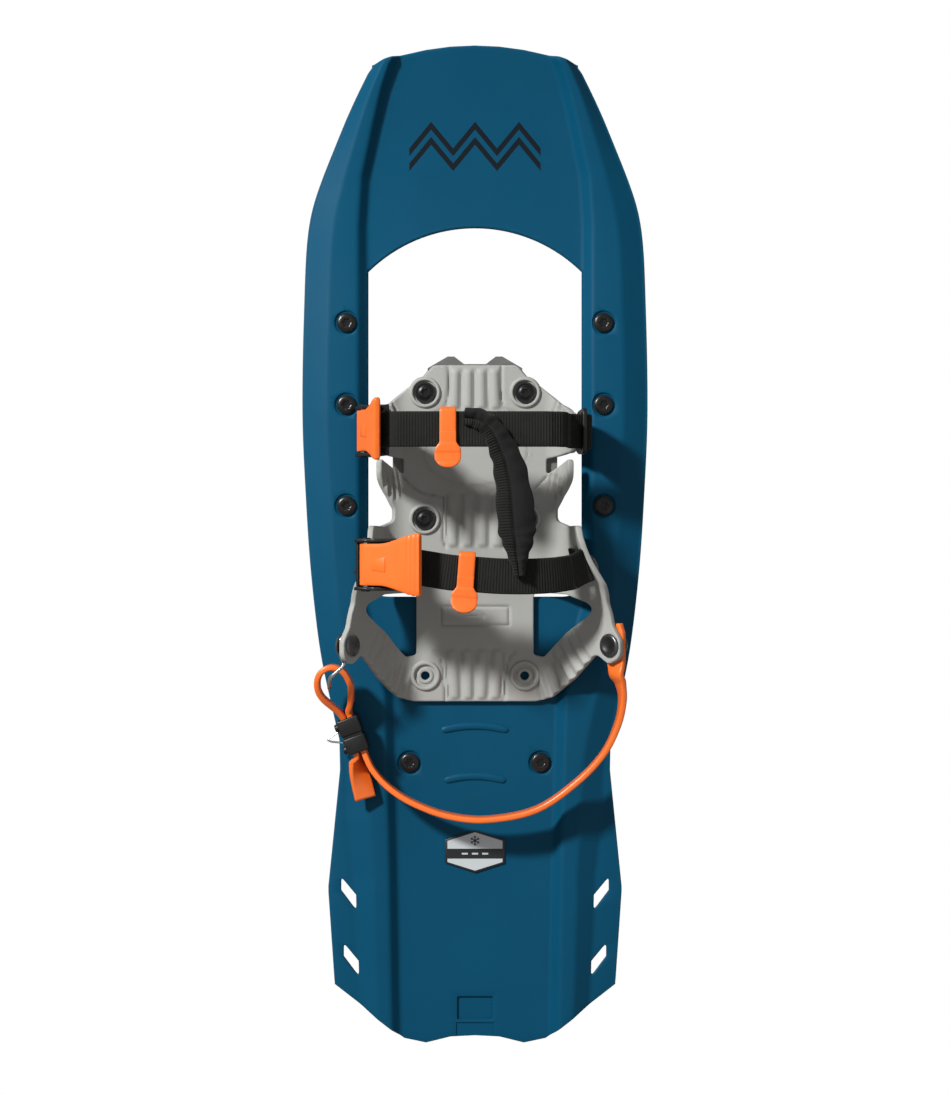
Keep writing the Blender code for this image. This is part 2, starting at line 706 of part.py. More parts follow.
def build_toe_crampon(finish_with, bush_finish, pivot):
    """Plate under the foot bed with toothed sides, and two claws down in front."""
    top = CRAMPON_Z + CRAMPON_T
    half = CRAMPON_HALF
    front = CRAMPON_FRONT
    neck = CRAMPON_NECK
    outline = rounded([(half, CRAMPON_REAR, 0), (half, front - CRAMPON_TAPER, 0.004),
                       (neck, front, 0), (-neck, front, 0),
                       (-half, front - CRAMPON_TAPER, 0.004), (-half, CRAMPON_REAR, 0)])
    plate = keep("toe_crampon", prism(outline, CRAMPON_Z, top), finish_with, pivot, smooth=False)
    upright = frame_at((0, 0, 0), (0, 1, 0), (0, 0, 1), (1, 0, 0))
    side_teeth = toothed_line(CRAMPON_REAR, front - 0.026, SIDE_TOOTH_PITCH, TOOTH_TIP_Z,
                              AXLE_Z - BUSH_R - 0.003, CRAMPON_Z + CRAMPON_T / 2)
    drop = CRAMPON_Z - TOOTH_TIP_Z
    lean = atan2(CLAW_REACH, drop)
    length = sqrt(CLAW_REACH ** 2 + drop ** 2)
    right = [(neck, 0.001), (neck, -0.006), (0.0165, -length), (0.0125, -length), CLAW_VALLEY]
    claws = right + [(-x, v) for x, v in reversed(right)]
    tilt = Matrix.Translation((0, front, CRAMPON_Z + CRAMPON_T / 2)) @ Matrix.Rotation(lean, 4, "X")
    down = tilt @ frame_at((0, 0, 0), (1, 0, 0), (0, 0, 1), (0, -1, 0))
    boolean(plate, prism(side_teeth, -half, -half + CRAMPON_T, upright), "UNION")
    boolean(plate, prism(side_teeth, half - CRAMPON_T, half, upright), "UNION")
    boolean(plate, prism(claws, 0.0, CRAMPON_T, down), "UNION")
    cuts = [rod((0, AXLE_Y, AXLE_Z), (1, 0, 0), BUSH_R + GAP, 3 * half, 20)]
    for x, y in HARNESS_SCREWS:
        cuts += [rod((side * x, y, top), (0, 0, 1), HOLE_R, 0.012, 12) for side in (-1, 1)]
    boolean(plate, merge(cuts), "DIFFERENCE")
    for side, name in ((-1, "axle_bush_left"), (1, "axle_bush_right")):
        inner = AXLE_R + GAP
        profile = [(inner, -BUSH_LENGTH / 2), (BUSH_R, -BUSH_LENGTH / 2),
                   (BUSH_R, BUSH_LENGTH / 2), (inner, BUSH_LENGTH / 2)]
        place = frame_at((side * (half - CRAMPON_T / 2), AXLE_Y, AXLE_Z),
                         (0, 1, 0), (0, 0, 1), (1, 0, 0))
        keep(name, turned(profile, place, 20), bush_finish, pivot)


# ---- harness ------------------------------------------------------------------------
def bed_half(t):
    return BED_HALF_HEEL + (BED_HALF_TOE - BED_HALF_HEEL) * ease((t - LEAN_TO) / 0.025)


def lean_at(side, t):
    share = ease((t - LEAN_TO) / (LEAN_FROM[side] - LEAN_TO))
    return LEAN_HEEL[side] + (LEAN_TOE - LEAN_HEEL[side]) * share


def bent(s, t, n):
    """World place of a point of the flat harness: s across, t along, n above its underside."""
    side = -1 if s < 0 else 1
    flat = bed_half(t)
    rest = abs(s) - flat
    if rest <= 0.0:
        return Vector((s, t, HARNESS_Z + n))
    lean = lean_at(side, t)
    angle = min(rest / BEND_R, lean)
    straight = max(rest - BEND_R * lean, 0.0)
    x = flat + (BEND_R - n) * sin(angle) + straight * cos(angle)
    z = HARNESS_Z + BEND_R - (BEND_R - n) * cos(angle) + straight * sin(angle)
    return Vector((side * x, t, z))


def wing_frame(s, t):
    """Frame on a wing's outer face at a flat place: up the wing, along it, and out of it."""
    step = 0.002 if s > 0 else -0.002
    up = (bent(s + step, t, 0.0) - bent(s - step, t, 0.0)).normalized()
    toe = (bent(s, t + 0.004, 0.0) - bent(s, t - 0.004, 0.0)).normalized()
    out = up.cross(toe).normalized()
    if out.dot(bent(s, t, 0.0) - bent(s, t, HARNESS_T)) < 0:
        out = -out
    return frame_at(bent(s, t, 0.0), up, toe, out)


def harness_outline():
    """Right half of the flat harness, toe to heel: (across, along, corner radius)."""
    return [
        (0.0245, 0.1082, 0.005), (0.0300, 0.1020, 0.004), (0.0530, 0.0850, 0.010),
        (0.0680, 0.0795, 0.006), (TOE_WING_TOP, 0.0790, 0.005), (TOE_WING_TOP, 0.0560, 0.005),
        (0.0600, 0.0560, 0.004), (0.0425, 0.0530, 0.0015), (0.0425, 0.0440, 0.0015),
        (0.0560, 0.0505, 0.004),
        (0.0650, 0.0540, 0.004), (0.0650, 0.0420, 0.005), (0.0545, 0.0310, 0.004),
        (0.0495, 0.0235, 0.004), (0.0495, 0.0165, 0.004), (0.0600, 0.0135, 0.004),
        (0.0960, 0.0135, 0.008), (INSTEP_WING_TOP, 0.0040, 0.008),
        (INSTEP_WING_TOP, -0.0200, 0.008),
        (0.0950, -0.0310, 0.008), (0.0960, -0.0440, 0.008), (0.1020, -0.0520, 0.006),
        (0.1020, -0.0620, 0.006), (0.0930, -0.0660, 0.005), (0.0830, -0.0600, 0.006),
        (0.0650, -0.0755, 0.012), (0.0470, -0.0870, 0.010), (0.0360, -0.0895, 0.010),
    ]


def side_window():
    """Opening beside the heel tongue, in the flat harness."""
    return [(0.0345, -0.0255, 0.003), (0.0600, -0.0265, 0.006), (0.0870, -0.0330, 0.005),
            (0.0600, -0.0485, 0.008), (0.0410, -0.0635, 0.004), (0.0345, -0.0620, 0.002)]


def harness_mesh():
    right = harness_outline()
    left = [(-x, y, r) for x, y, r in reversed(right)]
    loops = [rounded(right + left, 3)]
    for side in (-1, 1):
        loops.append([(side * x, y) for x, y in rounded(side_window(), 3)])
        for x, y in HARNESS_SCREWS:
            loops.append(circle(side * x, y, HOLE_R))
        loops.append(circle(side * HEEL_RING[0], HEEL_RING[1], HEEL_RING_HOLE_R))
        for s, t in (TOE_RIVET_FLAT, INSTEP_RIVET_FLAT, HEEL_RIVET_FLAT):
            loops.append(circle(side * s, t, RIVET_R + WING_GAP + GAP, 10))
    made = bmesh.new()
    edges = []
    for loop in loops:
        verts = [made.verts.new((x, y, 0.0)) for x, y in loop]
        edges += [made.edges.new((a, b)) for a, b in zip(verts, verts[1:] + verts[:1])]
    bmesh.ops.triangle_fill(made, use_beauty=True, use_dissolve=False, edges=edges)
    lifted = bmesh.ops.extrude_face_region(made, geom=list(made.faces))
    tops = [item for item in lifted["geom"] if isinstance(item, bmesh.types.BMVert)]
    bmesh.ops.translate(made, vec=(0, 0, HARNESS_T), verts=tops)
    cuts = [(side * (BED_HALF_HEEL + k * 0.0052), 0, 1, 0) for k in range(7) for side in (-1, 1)]
    cuts += [(0, -0.066 + k * 0.010, 0, 1) for k in range(9)]
    for x, y, nx, ny in cuts:
        bmesh.ops.bisect_plane(made, geom=list(made.verts) + list(made.edges) + list(made.faces),
                               dist=1e-7, plane_co=(x, y, 0), plane_no=(nx, ny, 0))
    for vert in made.verts:
        vert.co = bent(vert.co.x, vert.co.y, vert.co.z)
    bmesh.ops.triangulate(made, faces=[f for f in made.faces if len(f.verts) > 4])
    return finish(made)


def build_harness(finish_with, pivot):
    harness = keep("harness", harness_mesh(), finish_with, pivot)
    oval = [(SOLE_PAD[0] * x, SOLE_PAD_Y + SOLE_PAD[1] * y) for x, y in circle(0, 0, 1.0, 32)]
    top = HARNESS_Z + HARNESS_T
    boolean(harness, prism(oval, top - SOLE_PAD_RISE, top + SOLE_PAD_RISE), "UNION")


# ---- buckles and straps -------------------------------------------------------------
def buckle(prefix, foot, rise, rivet_flat, reach_out, pivot):
    """Buckle whose base climbs at an angle from its foot; returns the frame of its base."""
    u = Vector((cos(rise), 0, sin(rise)))
    v = Vector((0, 1, 0))
    w = Vector((-sin(rise), 0, cos(rise)))
    place = frame_at(foot, u, v, w)
    across = place @ frame_at((0, 0, 0), (1, 0, 0), (0, 0, 1), (0, -1, 0))
    base = [(0.0, 0.0), (BUCKLE_L, 0.0), (BUCKLE_L, BUCKLE_WALL), (0.0, BUCKLE_WALL)]
    half = BUCKLE_HALF
    body = keep(prefix + "_buckle_frame", prism(base, -half, half, across), BLACK, pivot,
                smooth=False)
    wall = rounded([(0.001, 0.001, 0), (0.026, 0.001, 0), (0.024, 0.0060, 0.002),
                    (PIN_AT[0] + 0.006, BUCKLE_H + 0.001, 0.004),
                    (PIN_AT[0] - 0.006, BUCKLE_H + 0.001, 0.004), (0.001, 0.0060, 0.002)], 2)
    for side in (-1, 1):
        low, high = sorted((side * half, side * (half - BUCKLE_WALL)))
        boolean(body, prism(wall, low, high, across), "UNION")
    wing = wing_frame(-rivet_flat[0], rivet_flat[1])
    anchor, out = wing.translation, wing.col[2].xyz
    reach = (Vector(foot) - anchor).dot(wing.col[0].xyz) + 0.003
    tab = [(-0.0060, -0.0055), (reach, -0.0055), (reach, 0.0055), (-0.0060, 0.0055)]
    boolean(body, prism(tab, WING_GAP, WING_GAP + BUCKLE_WALL, wing), "UNION")
    holes = [rod(anchor, out, RIVET_R + GAP, 0.02, 12),
             rod(place @ Vector((PIN_AT[0], 0, PIN_AT[1])), (0, 1, 0), PIN_R + GAP, 0.05, 12)]
    boolean(body, merge(holes), "DIFFERENCE")
    rivet(prefix + "_buckle_rivet", anchor + out * (WING_GAP + BUCKLE_WALL), out,
          HARNESS_T + 2 * WING_GAP + BUCKLE_WALL, STEEL_DARK, pivot, SMALL_HEAD_R)
    centre = place @ Vector((PIN_AT[0], 0, PIN_AT[1]))
    keep(prefix + "_buckle_pin", rod(centre, (0, 1, 0), PIN_R, 2 * half, 12), STEEL, pivot)
    hinge = pivot_at(prefix + "_lever_pivot", centre)
    local = frame_at(centre, u, v, w) @ frame_at((0, 0, 0), (1, 0, 0), (0, 0, 1), (0, -1, 0))
    inside = half - BUCKLE_WALL - PLAY
    r = LEVER_BARREL_R
    end = reach_out - PIN_AT[0]
    arm = [(0.0, 0.0), (end, 0.001), (end + 0.001, LEVER_T), (0.0, LEVER_T)]
    lever = keep(prefix + "_buckle_lever", rod(centre, (0, 1, 0), r, 2 * inside, 16), ORANGE,
                 hinge)
    boolean(lever, prism(arm, -inside, inside, local), "UNION")
    paddle = [(FLARE_FROM, -inside), (end + 0.001, -LEVER_FLARE), (end + 0.001, LEVER_FLARE),
              (FLARE_FROM, inside)]
    flat = frame_at(centre, u, v, w)
    boolean(lever, prism(paddle, 0.0012, LEVER_T + 0.0006, flat), "UNION")
    boolean(lever, rod(centre, (0, 1, 0), PIN_R + GAP, 0.05, 12), "DIFFERENCE")
    return place


def strap_stations(points, half_w=STRAP_W / 2, half_t=STRAP_T / 2, steps=3, across=(0, 1, 0)):
    return [((x, y, z), across, half_w, half_t) for x, y, z in smooth_path(points, steps)]


def strap_in_buckle(place, y):
    """Points of a strap's centre line on a buckle's base."""
    above = BUCKLE_WALL + GAP + STRAP_T / 2
    points = [place @ Vector((u, 0, above)) for u in (0.0045, 0.014, 0.0235, BUCKLE_L + 0.0008)]
    return [(p.x, y, p.z) for p in points]


def build_toe_strap(place, pivot):
    """Strap from the toe buckle over the toes and through the anchor's window."""
    y = TOE_STRAP_Y
    window = wing_frame(*TOE_RIVET_FLAT) @ Vector((ANCHOR_WINDOW, 0, WING_GAP + ANCHOR_T / 2))
    x, z = window.x, window.z
    top = TOE_STRAP_Z
    points = strap_in_buckle(place, y)
    x_end, z_end = points[-1][0], points[-1][2]
    points += [(x_end + 0.0014, y, z_end + 0.0028), (x_end + 0.0060, y, top - 0.0004),
               (x_end + 0.0140, y, top + 0.0001), (-0.0240, y, top),
               (0.0, y, top), (0.0360, y, top), (0.0440, y, top - 0.0012),
               (0.0510, y, top - 0.0055), (x - 0.0085, y, z + 0.0065), (x - 0.0030, y, z + 0.0010),
               (x, y, z), (x + 0.0030, y, z - 0.0020), (x + 0.0040, y, z - 0.0065),
               (x + 0.0032, y, z - 0.0140)]
    keep("toe_strap", sweep(strap_stations(points)), WEBBING, pivot)


def build_toe_anchor(pivot):
    place = wing_frame(*TOE_RIVET_FLAT)
    half = ANCHOR_HALF
    outline = rounded([(-0.0080, -half + 0.004, 0.003), (ANCHOR_TOP, -half, 0.003),
                       (ANCHOR_TOP, half, 0.003), (-0.0080, half - 0.004, 0.003)])
    plate = keep("toe_strap_anchor", prism(outline, WING_GAP, WING_GAP + ANCHOR_T, place),
                 BLACK, pivot)
    side = STRAP_W / 2 + PLAY
    low, high = ANCHOR_WINDOW - 0.0023, ANCHOR_WINDOW + 0.0023
    window = [(low, -side), (high, -side), (high, side), (low, side)]
    centre = place.translation
    out = place.col[2].xyz
    cuts = [prism(window, -0.004, 0.008, place), rod(centre, out, RIVET_R + GAP, 0.02, 12)]
    boolean(plate, merge(cuts), "DIFFERENCE")
    rivet("toe_anchor_rivet", centre + out * (WING_GAP + ANCHOR_T), out,
          HARNESS_T + 2 * WING_GAP + ANCHOR_T, STEEL_DARK, pivot, SMALL_HEAD_R)


def build_instep_strap(place, pivot):
    """Strap from the instep buckle over the instep, down the inner face of the right wing."""
    top = INSTEP_STRAP_Z
    points = strap_in_buckle(place, -0.0090)
    points += [(-0.0290, -0.0105, top - 0.0004), (-0.0170, -0.0125, top),
               (-0.0080, -0.0135, top), (0.0020, -0.0142, top),
               (0.0140, -0.0150, top - 0.0005), (0.0290, -0.0152, top - 0.0025),
               (0.0440, -0.0145, top - 0.0075), (0.0550, -0.0130, top - 0.0150)]
    stations = strap_stations(points)
    s, t = INSTEP_RIVET_FLAT
    above = HARNESS_T + WING_GAP + STRAP_T / 2
    for place_s in (0.0985, 0.0955, 0.0910, 0.0865, 0.0820, 0.0775):
        across = bent(place_s, t + 0.008, above) - bent(place_s, t - 0.008, above)
        stations.append((bent(place_s, t, above), across, STRAP_W / 2, STRAP_T / 2))
    strap = keep("instep_strap", sweep(stations), WEBBING, pivot)
    wing = wing_frame(s, t)
    point, out = wing.translation, wing.col[2].xyz
    boolean(strap, rod(point, out, RIVET_R + GAP, 0.02, 12), "DIFFERENCE")
    grip = HARNESS_T + 2 * WING_GAP + STRAP_T
    inner = point - out * (grip - WING_GAP)
    rivet("instep_anchor_plate", inner, -out, grip, STEEL_DARK, pivot, PLATE_R)


def build_keeper(name, centre, turn, pivot_name):
    """Keeper: a loop round the strap that ends in a round paddle on its heel side."""
    hinge = pivot_at(pivot_name, centre)
    place = Matrix.Translation(centre) @ Matrix.Rotation(turn, 4, "Z")
    half_w = STRAP_W / 2 + PLAY
    half_t = STRAP_T / 2 + PLAY
    wall = 0.0018
    loop = [(-0.0049, -half_w - wall), (0.0049, -half_w - wall),
            (0.0049, half_w + wall), (-0.0049, half_w + wall)]
    piece = keep(name, prism(loop, -half_t - wall, half_t + wall, place), ORANGE, hinge)
    tip = -half_w - 0.0110
    paddle = rounded([(-0.0045, -half_w + 0.004, 0), (-0.0074, -half_w - 0.003, 0.003),
                      (-0.0074, tip, 0.0055), (0.0074, tip, 0.0055),
                      (0.0074, -half_w - 0.003, 0.003), (0.0045, -half_w + 0.004, 0)], 4)
    boolean(piece, prism(paddle, half_t + wall / 3, half_t + wall + 0.0008, place), "UNION")
    bore = [(-0.02, -half_w), (0.02, -half_w), (0.02, half_w), (-0.02, half_w)]
    boolean(piece, prism(bore, -half_t, half_t, place), "DIFFERENCE")


def build_link_strap(pivot):
    """Folded strap that ties the toe strap to the instep strap above the foot."""
    toe = TOE_STRAP_Z + STRAP_T / 2 + LINK_T / 2
    instep = INSTEP_STRAP_Z + STRAP_T / 2 + LINK_T / 2
    line = [
        (-0.0060, 0.0745, toe + 0.0008, 0.0045), (0.0000, 0.0738, toe + 0.0010, 0.0055),
        (0.0060, 0.0712, toe + 0.0012, 0.0055), (0.0105, 0.0662, toe + 0.0014, 0.0053),
        (0.0145, 0.0585, toe + 0.0018, 0.0060), (0.0185, 0.0485, toe + 0.0026, 0.0071),
        (0.0215, 0.0330, toe + 0.0044, 0.0088), (0.0231, 0.0134, toe + 0.0066, LINK_HALF),
        (0.0238, 0.0050, instep - 0.0010, 0.0088), (0.0240, -0.0030, instep - 0.0002, 0.0062),
        (0.0245, -0.0090, instep + 0.0002, 0.0040), (0.0250, -0.0149, instep + 0.0002, 0.0028),
    ]
    stations = []
    path = smooth_path(line, 2)
    for k, (x, y, z, half) in enumerate(path):
        ahead = path[min(k + 1, len(path) - 1)]
        behind = path[max(k - 1, 0)]
        across = Vector((ahead[1] - behind[1], behind[0] - ahead[0], 0)).normalized()
        stations.append(((x, y, z), across, half, LINK_T / 2))
    keep("link_strap", sweep(stations), WEBBING, pivot)


# ---- heel strap ---------------------------------------------------------------------


def strap_end(t):
    """Centre of the heel strap against the outer face of the right wing."""
    return bent(HEEL_RIVET_FLAT[0], t, -(GAP + HEEL_STRAP_T / 2))


def heel_strap_points():
    tilt = -(90 - LEAN_HEEL[1] * 180 / pi)
    points = [(*strap_end(HINGE_Y - back), tilt) for back in STRAP_START]
    points += BACK_RUN
    right = KEEPER_AT
    left = KEEPER_AT + Vector((-0.934, -0.356, 0)).normalized() * RUN_PITCH
    for step in (0.0120, 0.0, -0.0125):
        points.append((*(right + KEEPER_ALONG * step), 0))
    points += HOOK_LOOP
    for step in (-0.0125, 0.0, 0.0120):
        points.append((*(left + KEEPER_ALONG * step), 0))
    points += STRAP_TAIL
    return points


def build_heel_strap(harness_pivot):
    start = strap_end(HINGE_Y)
    hinge = pivot_at("heel_strap_pivot", (0, HINGE_Y, start.z))
    path = smooth_path(heel_strap_points(), 3)
    stations = []
    for k, (x, y, z, tilt) in enumerate(path):
        ahead = Vector(path[min(k + 1, len(path) - 1)][:3])
        behind = Vector(path[max(k - 1, 0)][:3])
        side = (ahead - behind).cross(Vector((0, 0, 1))).normalized()
        across = Vector((0, 0, 1)) * cos(radians(tilt)) + side * sin(radians(tilt))
        stations.append(((x, y, z), across, HEEL_STRAP_W / 2, HEEL_STRAP_T / 2))
    keep("heel_strap", sweep(stations), ORANGE, hinge)

    s = HEEL_RIVET_FLAT[0]
    root = []
    for t in (HINGE_Y, -0.060, -0.055, -0.049, -0.0425):
        up = (bent(s + 0.002, t, 0.0) - bent(s - 0.002, t, 0.0)).normalized()
        half = HEEL_STRAP_W / 2 if t < -0.045 else HEEL_STRAP_W / 3
        root.append((strap_end(t), up, half, HEEL_STRAP_T / 2))
    piece = keep("heel_strap_root", sweep(root), ORANGE, harness_pivot)
    wing = wing_frame(*HEEL_RIVET_FLAT)
    point, out = wing.translation, wing.col[2].xyz
    boolean(piece, rod(point, out, RIVET_R + GAP, 0.03, 12), "DIFFERENCE")
    grip = HARNESS_T + HEEL_STRAP_T + 2 * GAP
    rivet("heel_rivet_right", point - out * HARNESS_T, -out, grip, STEEL_DARK, harness_pivot)

    place = frame_at(KEEPER_AT + Vector((-0.934, -0.356, 0)).normalized() * RUN_PITCH / 2,
                     KEEPER_ALONG, Vector((0, 0, 1)).cross(KEEPER_ALONG), Vector((0, 0, 1)))
    half_y = RUN_PITCH / 2 + HEEL_STRAP_T / 2 + PLAY
    half_z = HEEL_STRAP_W / 2 + PLAY
    length = KEEPER_LENGTH / 2
    wall = KEEPER_WALL
    outer = [(-length, -half_y - wall), (length, -half_y - wall),
             (length, half_y + wall), (-length, half_y + wall)]
    keeper = keep("heel_buckle", prism(outer, -half_z - wall, half_z + wall, place), BLACK, hinge)
    bore = [(-0.03, -half_y), (0.03, -half_y), (0.03, half_y), (-0.03, half_y)]
    boolean(keeper, prism(bore, -half_z, half_z, place), "DIFFERENCE")
    spot = place @ Vector((-0.001, 0, 0))
    out = (place.col[1].xyz * -1).normalized()
    if out.x > 0:
        out = -out
    base = spot + out * (half_y + wall + GAP + 0.0006)
    ends = [base - KEEPER_ALONG * 0.0035, base + out * 0.0078 - KEEPER_ALONG * 0.0010,
            base + KEEPER_ALONG * 0.0035]
    keep("heel_buckle_wire", wire(ends, 0.0006, 3, 6), STEEL, hinge)


def build_heel_hook(pivot):
    """Steel hook on the left heel rivet; the strap's loop hangs on its bent end."""
    s, t = HEEL_RIVET_FLAT
    wing = wing_frame(-s, t)
    point, out = wing.translation, wing.col[2].xyz
    back = Vector((0, -1, 0))
    place = frame_at(point + out * 2 * GAP, wing.col[0].xyz, back, out)
    outline = rounded([(-0.0055, -0.0060, 0.004), (0.0055, -0.0060, 0.004),
                       (0.0050, 0.0060, 0.003), (0.0024, 0.0100, 0.0), (-0.0014, 0.0100, 0.0),
                       (-0.0050, 0.0060, 0.003)])
    hook = keep("heel_hook", prism(outline, 0.0, HOOK_T, place), STEEL, pivot)
    start = place @ Vector((0.0005, 0.0088, HOOK_T / 2))
    bend = [start, start + Vector((-0.0015, -0.0035, 0.0005)),
            Vector((-0.0825, -0.0735, start.z - 0.0005)), Vector((-0.0835, -0.0785, 0.0665)),
            Vector((-0.0840, -0.0800, 0.0590)), Vector((-0.0845, -0.0805, 0.0520))]
    boolean(hook, wire([tuple(p) for p in bend], 0.0011, 3, 8), "UNION")
    boolean(hook, rod(point, out, RIVET_R + GAP, 0.02, 12), "DIFFERENCE")
    rivet("heel_rivet_left", point + out * (HOOK_T + 2 * GAP), out, HARNESS_T + HOOK_T + 3 * GAP,
          STEEL_DARK, pivot)


# ---- assembly -----------------------------------------------------------------------
clear_scene()
BLUE = material("deck_blue", (0.004, 0.075, 0.135), 0.45)
GREY = material("harness_grey", (0.42, 0.42, 0.38), 0.55)
ORANGE = material("orange", (0.85, 0.17, 0.025), 0.42)
WEBBING = material("webbing_black", (0.012, 0.012, 0.011), 0.85)
BLACK = material("black_plastic", (0.010, 0.010, 0.010), 0.40)
SCREW_BLACK = material("screw_black", (0.010, 0.010, 0.010), 0.30, 0.6)
STEEL = material("steel", (0.45, 0.44, 0.42), 0.35, 1.0)
STEEL_DARK = material("steel_dark", (0.05, 0.05, 0.05), 0.35, 0.9)
BADGE = material("badge_silver", (0.55, 0.58, 0.60), 0.35, 0.7)

build_deck(BLUE)
build_badge(BADGE)
rail_screws, heel_screws = deck_screw_places()
NAMES = ("front", "middle", "rear")
for index, (x, y, top) in enumerate(rail_screws):
    label = NAMES[index // 2] + ("_left" if x < 0 else "_right")
    seat = top - SEAT_DEPTH
    under = top - DECK_WALL - GAP - TRACTION_T - GAP
    screw("rail_screw_" + label, x, y, seat, seat - under, SCREW_BLACK)
    nut("rail_nut_" + label, x, y, under, STEEL)
for x, y, top in heel_screws:
    label = "left" if x < 0 else "right"
    seat = top - SEAT_DEPTH
    under = top - DECK_WALL - GAP - TRACTION_T - GAP
    screw("heel_screw_" + label, x, y, seat, seat - under, SCREW_BLACK)
    nut("heel_nut_" + label, x, y, under, STEEL)
rail_outer = build_traction_rail(-1, "traction_rail_left", STEEL)
build_traction_rail(1, "traction_rail_right", STEEL)
build_axle(rail_outer, STEEL, STEEL_DARK)
build_heel_crampon(STEEL)

harness_pivot = pivot_at("harness_pivot", (0, AXLE_Y, AXLE_Z))
build_harness(GREY, harness_pivot)
build_toe_crampon(STEEL, BLACK, harness_pivot)
for k, (x, y) in enumerate(HARNESS_SCREWS):
    for side, label in ((-1, "left"), (1, "right")):
        where = ("front_", "rear_")[k] + label
        top = HARNESS_Z + HARNESS_T
        under = CRAMPON_Z - GAP
        screw("harness_screw_" + where, side * x, y, top, top - under, SCREW_BLACK, harness_pivot)
        nut("harness_nut_" + where, side * x, y, under, STEEL, harness_pivot)

toe_foot = wing_frame(-TOE_WING_TOP, TOE_STRAP_Y) @ Vector((0.0016, 0, WING_GAP))
toe_place = buckle("toe", toe_foot, TOE_BUCKLE_RISE, TOE_RIVET_FLAT, TOE_LEVER_L, harness_pivot)
build_toe_strap(toe_place, harness_pivot)
build_toe_anchor(harness_pivot)
build_keeper("toe_keeper", (-0.0152, TOE_STRAP_Y, TOE_STRAP_Z), 0.0, "toe_keeper_slide")

instep_y = INSTEP_RIVET_FLAT[1]
instep_foot = wing_frame(-INSTEP_WING_TOP, instep_y) @ Vector((0.0016, 0, WING_GAP))
instep_place = buckle("instep", instep_foot, INSTEP_BUCKLE_RISE, INSTEP_RIVET_FLAT,
                      INSTEP_LEVER_L, harness_pivot)
build_instep_strap(instep_place, harness_pivot)
build_keeper("instep_keeper", (-0.0050, -0.0137, INSTEP_STRAP_Z), radians(-4),
             "instep_keeper_slide")
build_link_strap(harness_pivot)
build_heel_strap(harness_pivot)
build_heel_hook(harness_pivot)
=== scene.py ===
"""Looks of the snowshoe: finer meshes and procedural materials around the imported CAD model."""

import bmesh
import bpy
import numpy as np
from math import asin, atan2, cos, pi, radians, sin, sqrt
from mathutils import Matrix, Vector


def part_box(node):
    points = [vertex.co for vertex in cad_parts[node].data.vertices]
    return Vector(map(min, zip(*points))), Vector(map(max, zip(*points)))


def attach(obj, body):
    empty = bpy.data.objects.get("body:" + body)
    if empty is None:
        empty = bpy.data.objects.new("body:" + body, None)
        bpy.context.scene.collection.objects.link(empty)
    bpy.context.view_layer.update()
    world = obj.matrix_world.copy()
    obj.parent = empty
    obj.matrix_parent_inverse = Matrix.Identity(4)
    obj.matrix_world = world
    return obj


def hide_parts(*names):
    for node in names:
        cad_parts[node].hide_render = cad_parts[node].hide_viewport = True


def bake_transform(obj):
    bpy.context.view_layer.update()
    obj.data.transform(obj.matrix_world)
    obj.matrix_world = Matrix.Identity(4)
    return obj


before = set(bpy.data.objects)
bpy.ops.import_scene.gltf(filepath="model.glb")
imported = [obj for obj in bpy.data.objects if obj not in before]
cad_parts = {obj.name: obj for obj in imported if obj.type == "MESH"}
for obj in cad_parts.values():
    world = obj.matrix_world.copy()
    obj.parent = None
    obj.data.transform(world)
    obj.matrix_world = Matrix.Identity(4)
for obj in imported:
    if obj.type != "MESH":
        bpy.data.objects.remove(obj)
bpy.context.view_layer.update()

# ---- sizes shared with the CAD model (metres) ----------------------------------------
LENGTH = 0.584
WIDTH = 0.2036
GAP = 0.0003
DECK_WALL = 0.003
FLOOR_Z = 0.030
RAIL_RISE = 0.006
STEP_RUN = 0.0053
SLOPE_RUN = 0.013
RIM = 0.0015
NOSE_LIFT = 0.024
ROCKER_START = 0.150
NOSE_RADIUS = 0.170
OPENING_HALF = 0.0629
OPENING_REAR = -0.028
OPENING_SIDE_END = 0.1636
OPENING_ARC = 0.090
OPENING_CORNER = 0.012
LIP = 0.0006
RAIL_SCREWS = [(side * (OPENING_HALF + 0.0125), y) for y in (0.133, 0.0848, 0.0255)
               for side in (-1, 1)]
HEEL_SCREWS = [(-0.0386, -0.1258), (0.0386, -0.1258)]
SEAT_R = 0.0069
SEAT_DEPTH = 0.0012
HOLE_R = 0.0024
HARNESS_T = 0.0035
HARNESS_Z = FLOOR_Z + 0.0005
BEND_R = 0.018
BED_HALF_TOE = 0.040
BED_HALF_HEEL = 0.036
LEAN_TOE = radians(84)
LEAN_HEEL = {-1: radians(57), 1: radians(46)}
LEAN_FROM = {-1: 0.002, 1: 0.012}
LEAN_TO = -0.045
HARNESS_SCREWS = ((0.0294, 0.0921), (0.0296, 0.0178))
HEEL_RING = (0.0292, -0.0743)
HEEL_RING_HOLE_R = 0.0026
SOLE_PAD = (0.033, 0.023)
SOLE_PAD_Y = 0.059
STRAP_W = 0.020
STRAP_T = 0.0016
TOE_STRAP_Y = 0.0675
TOE_STRAP_Z = 0.093
INSTEP_STRAP_Z = 0.101
BUCKLE_L = 0.030
BUCKLE_HALF = 0.0145
BUCKLE_WALL = 0.002
PIN_AT = (0.009, 0.0082)
WING_GAP = 0.0011
TOE_RIVET_FLAT = (0.068, TOE_STRAP_Y)
TOE_WING_TOP = 0.075
INSTEP_WING_TOP = 0.100
INSTEP_RIVET_FLAT = (0.090, -0.009)
HEEL_RIVET_FLAT = (0.0945, -0.055)
HEEL_STRAP_W = 0.0125
HEEL_STRAP_T = 0.0034
HINGE_Y = -0.0652
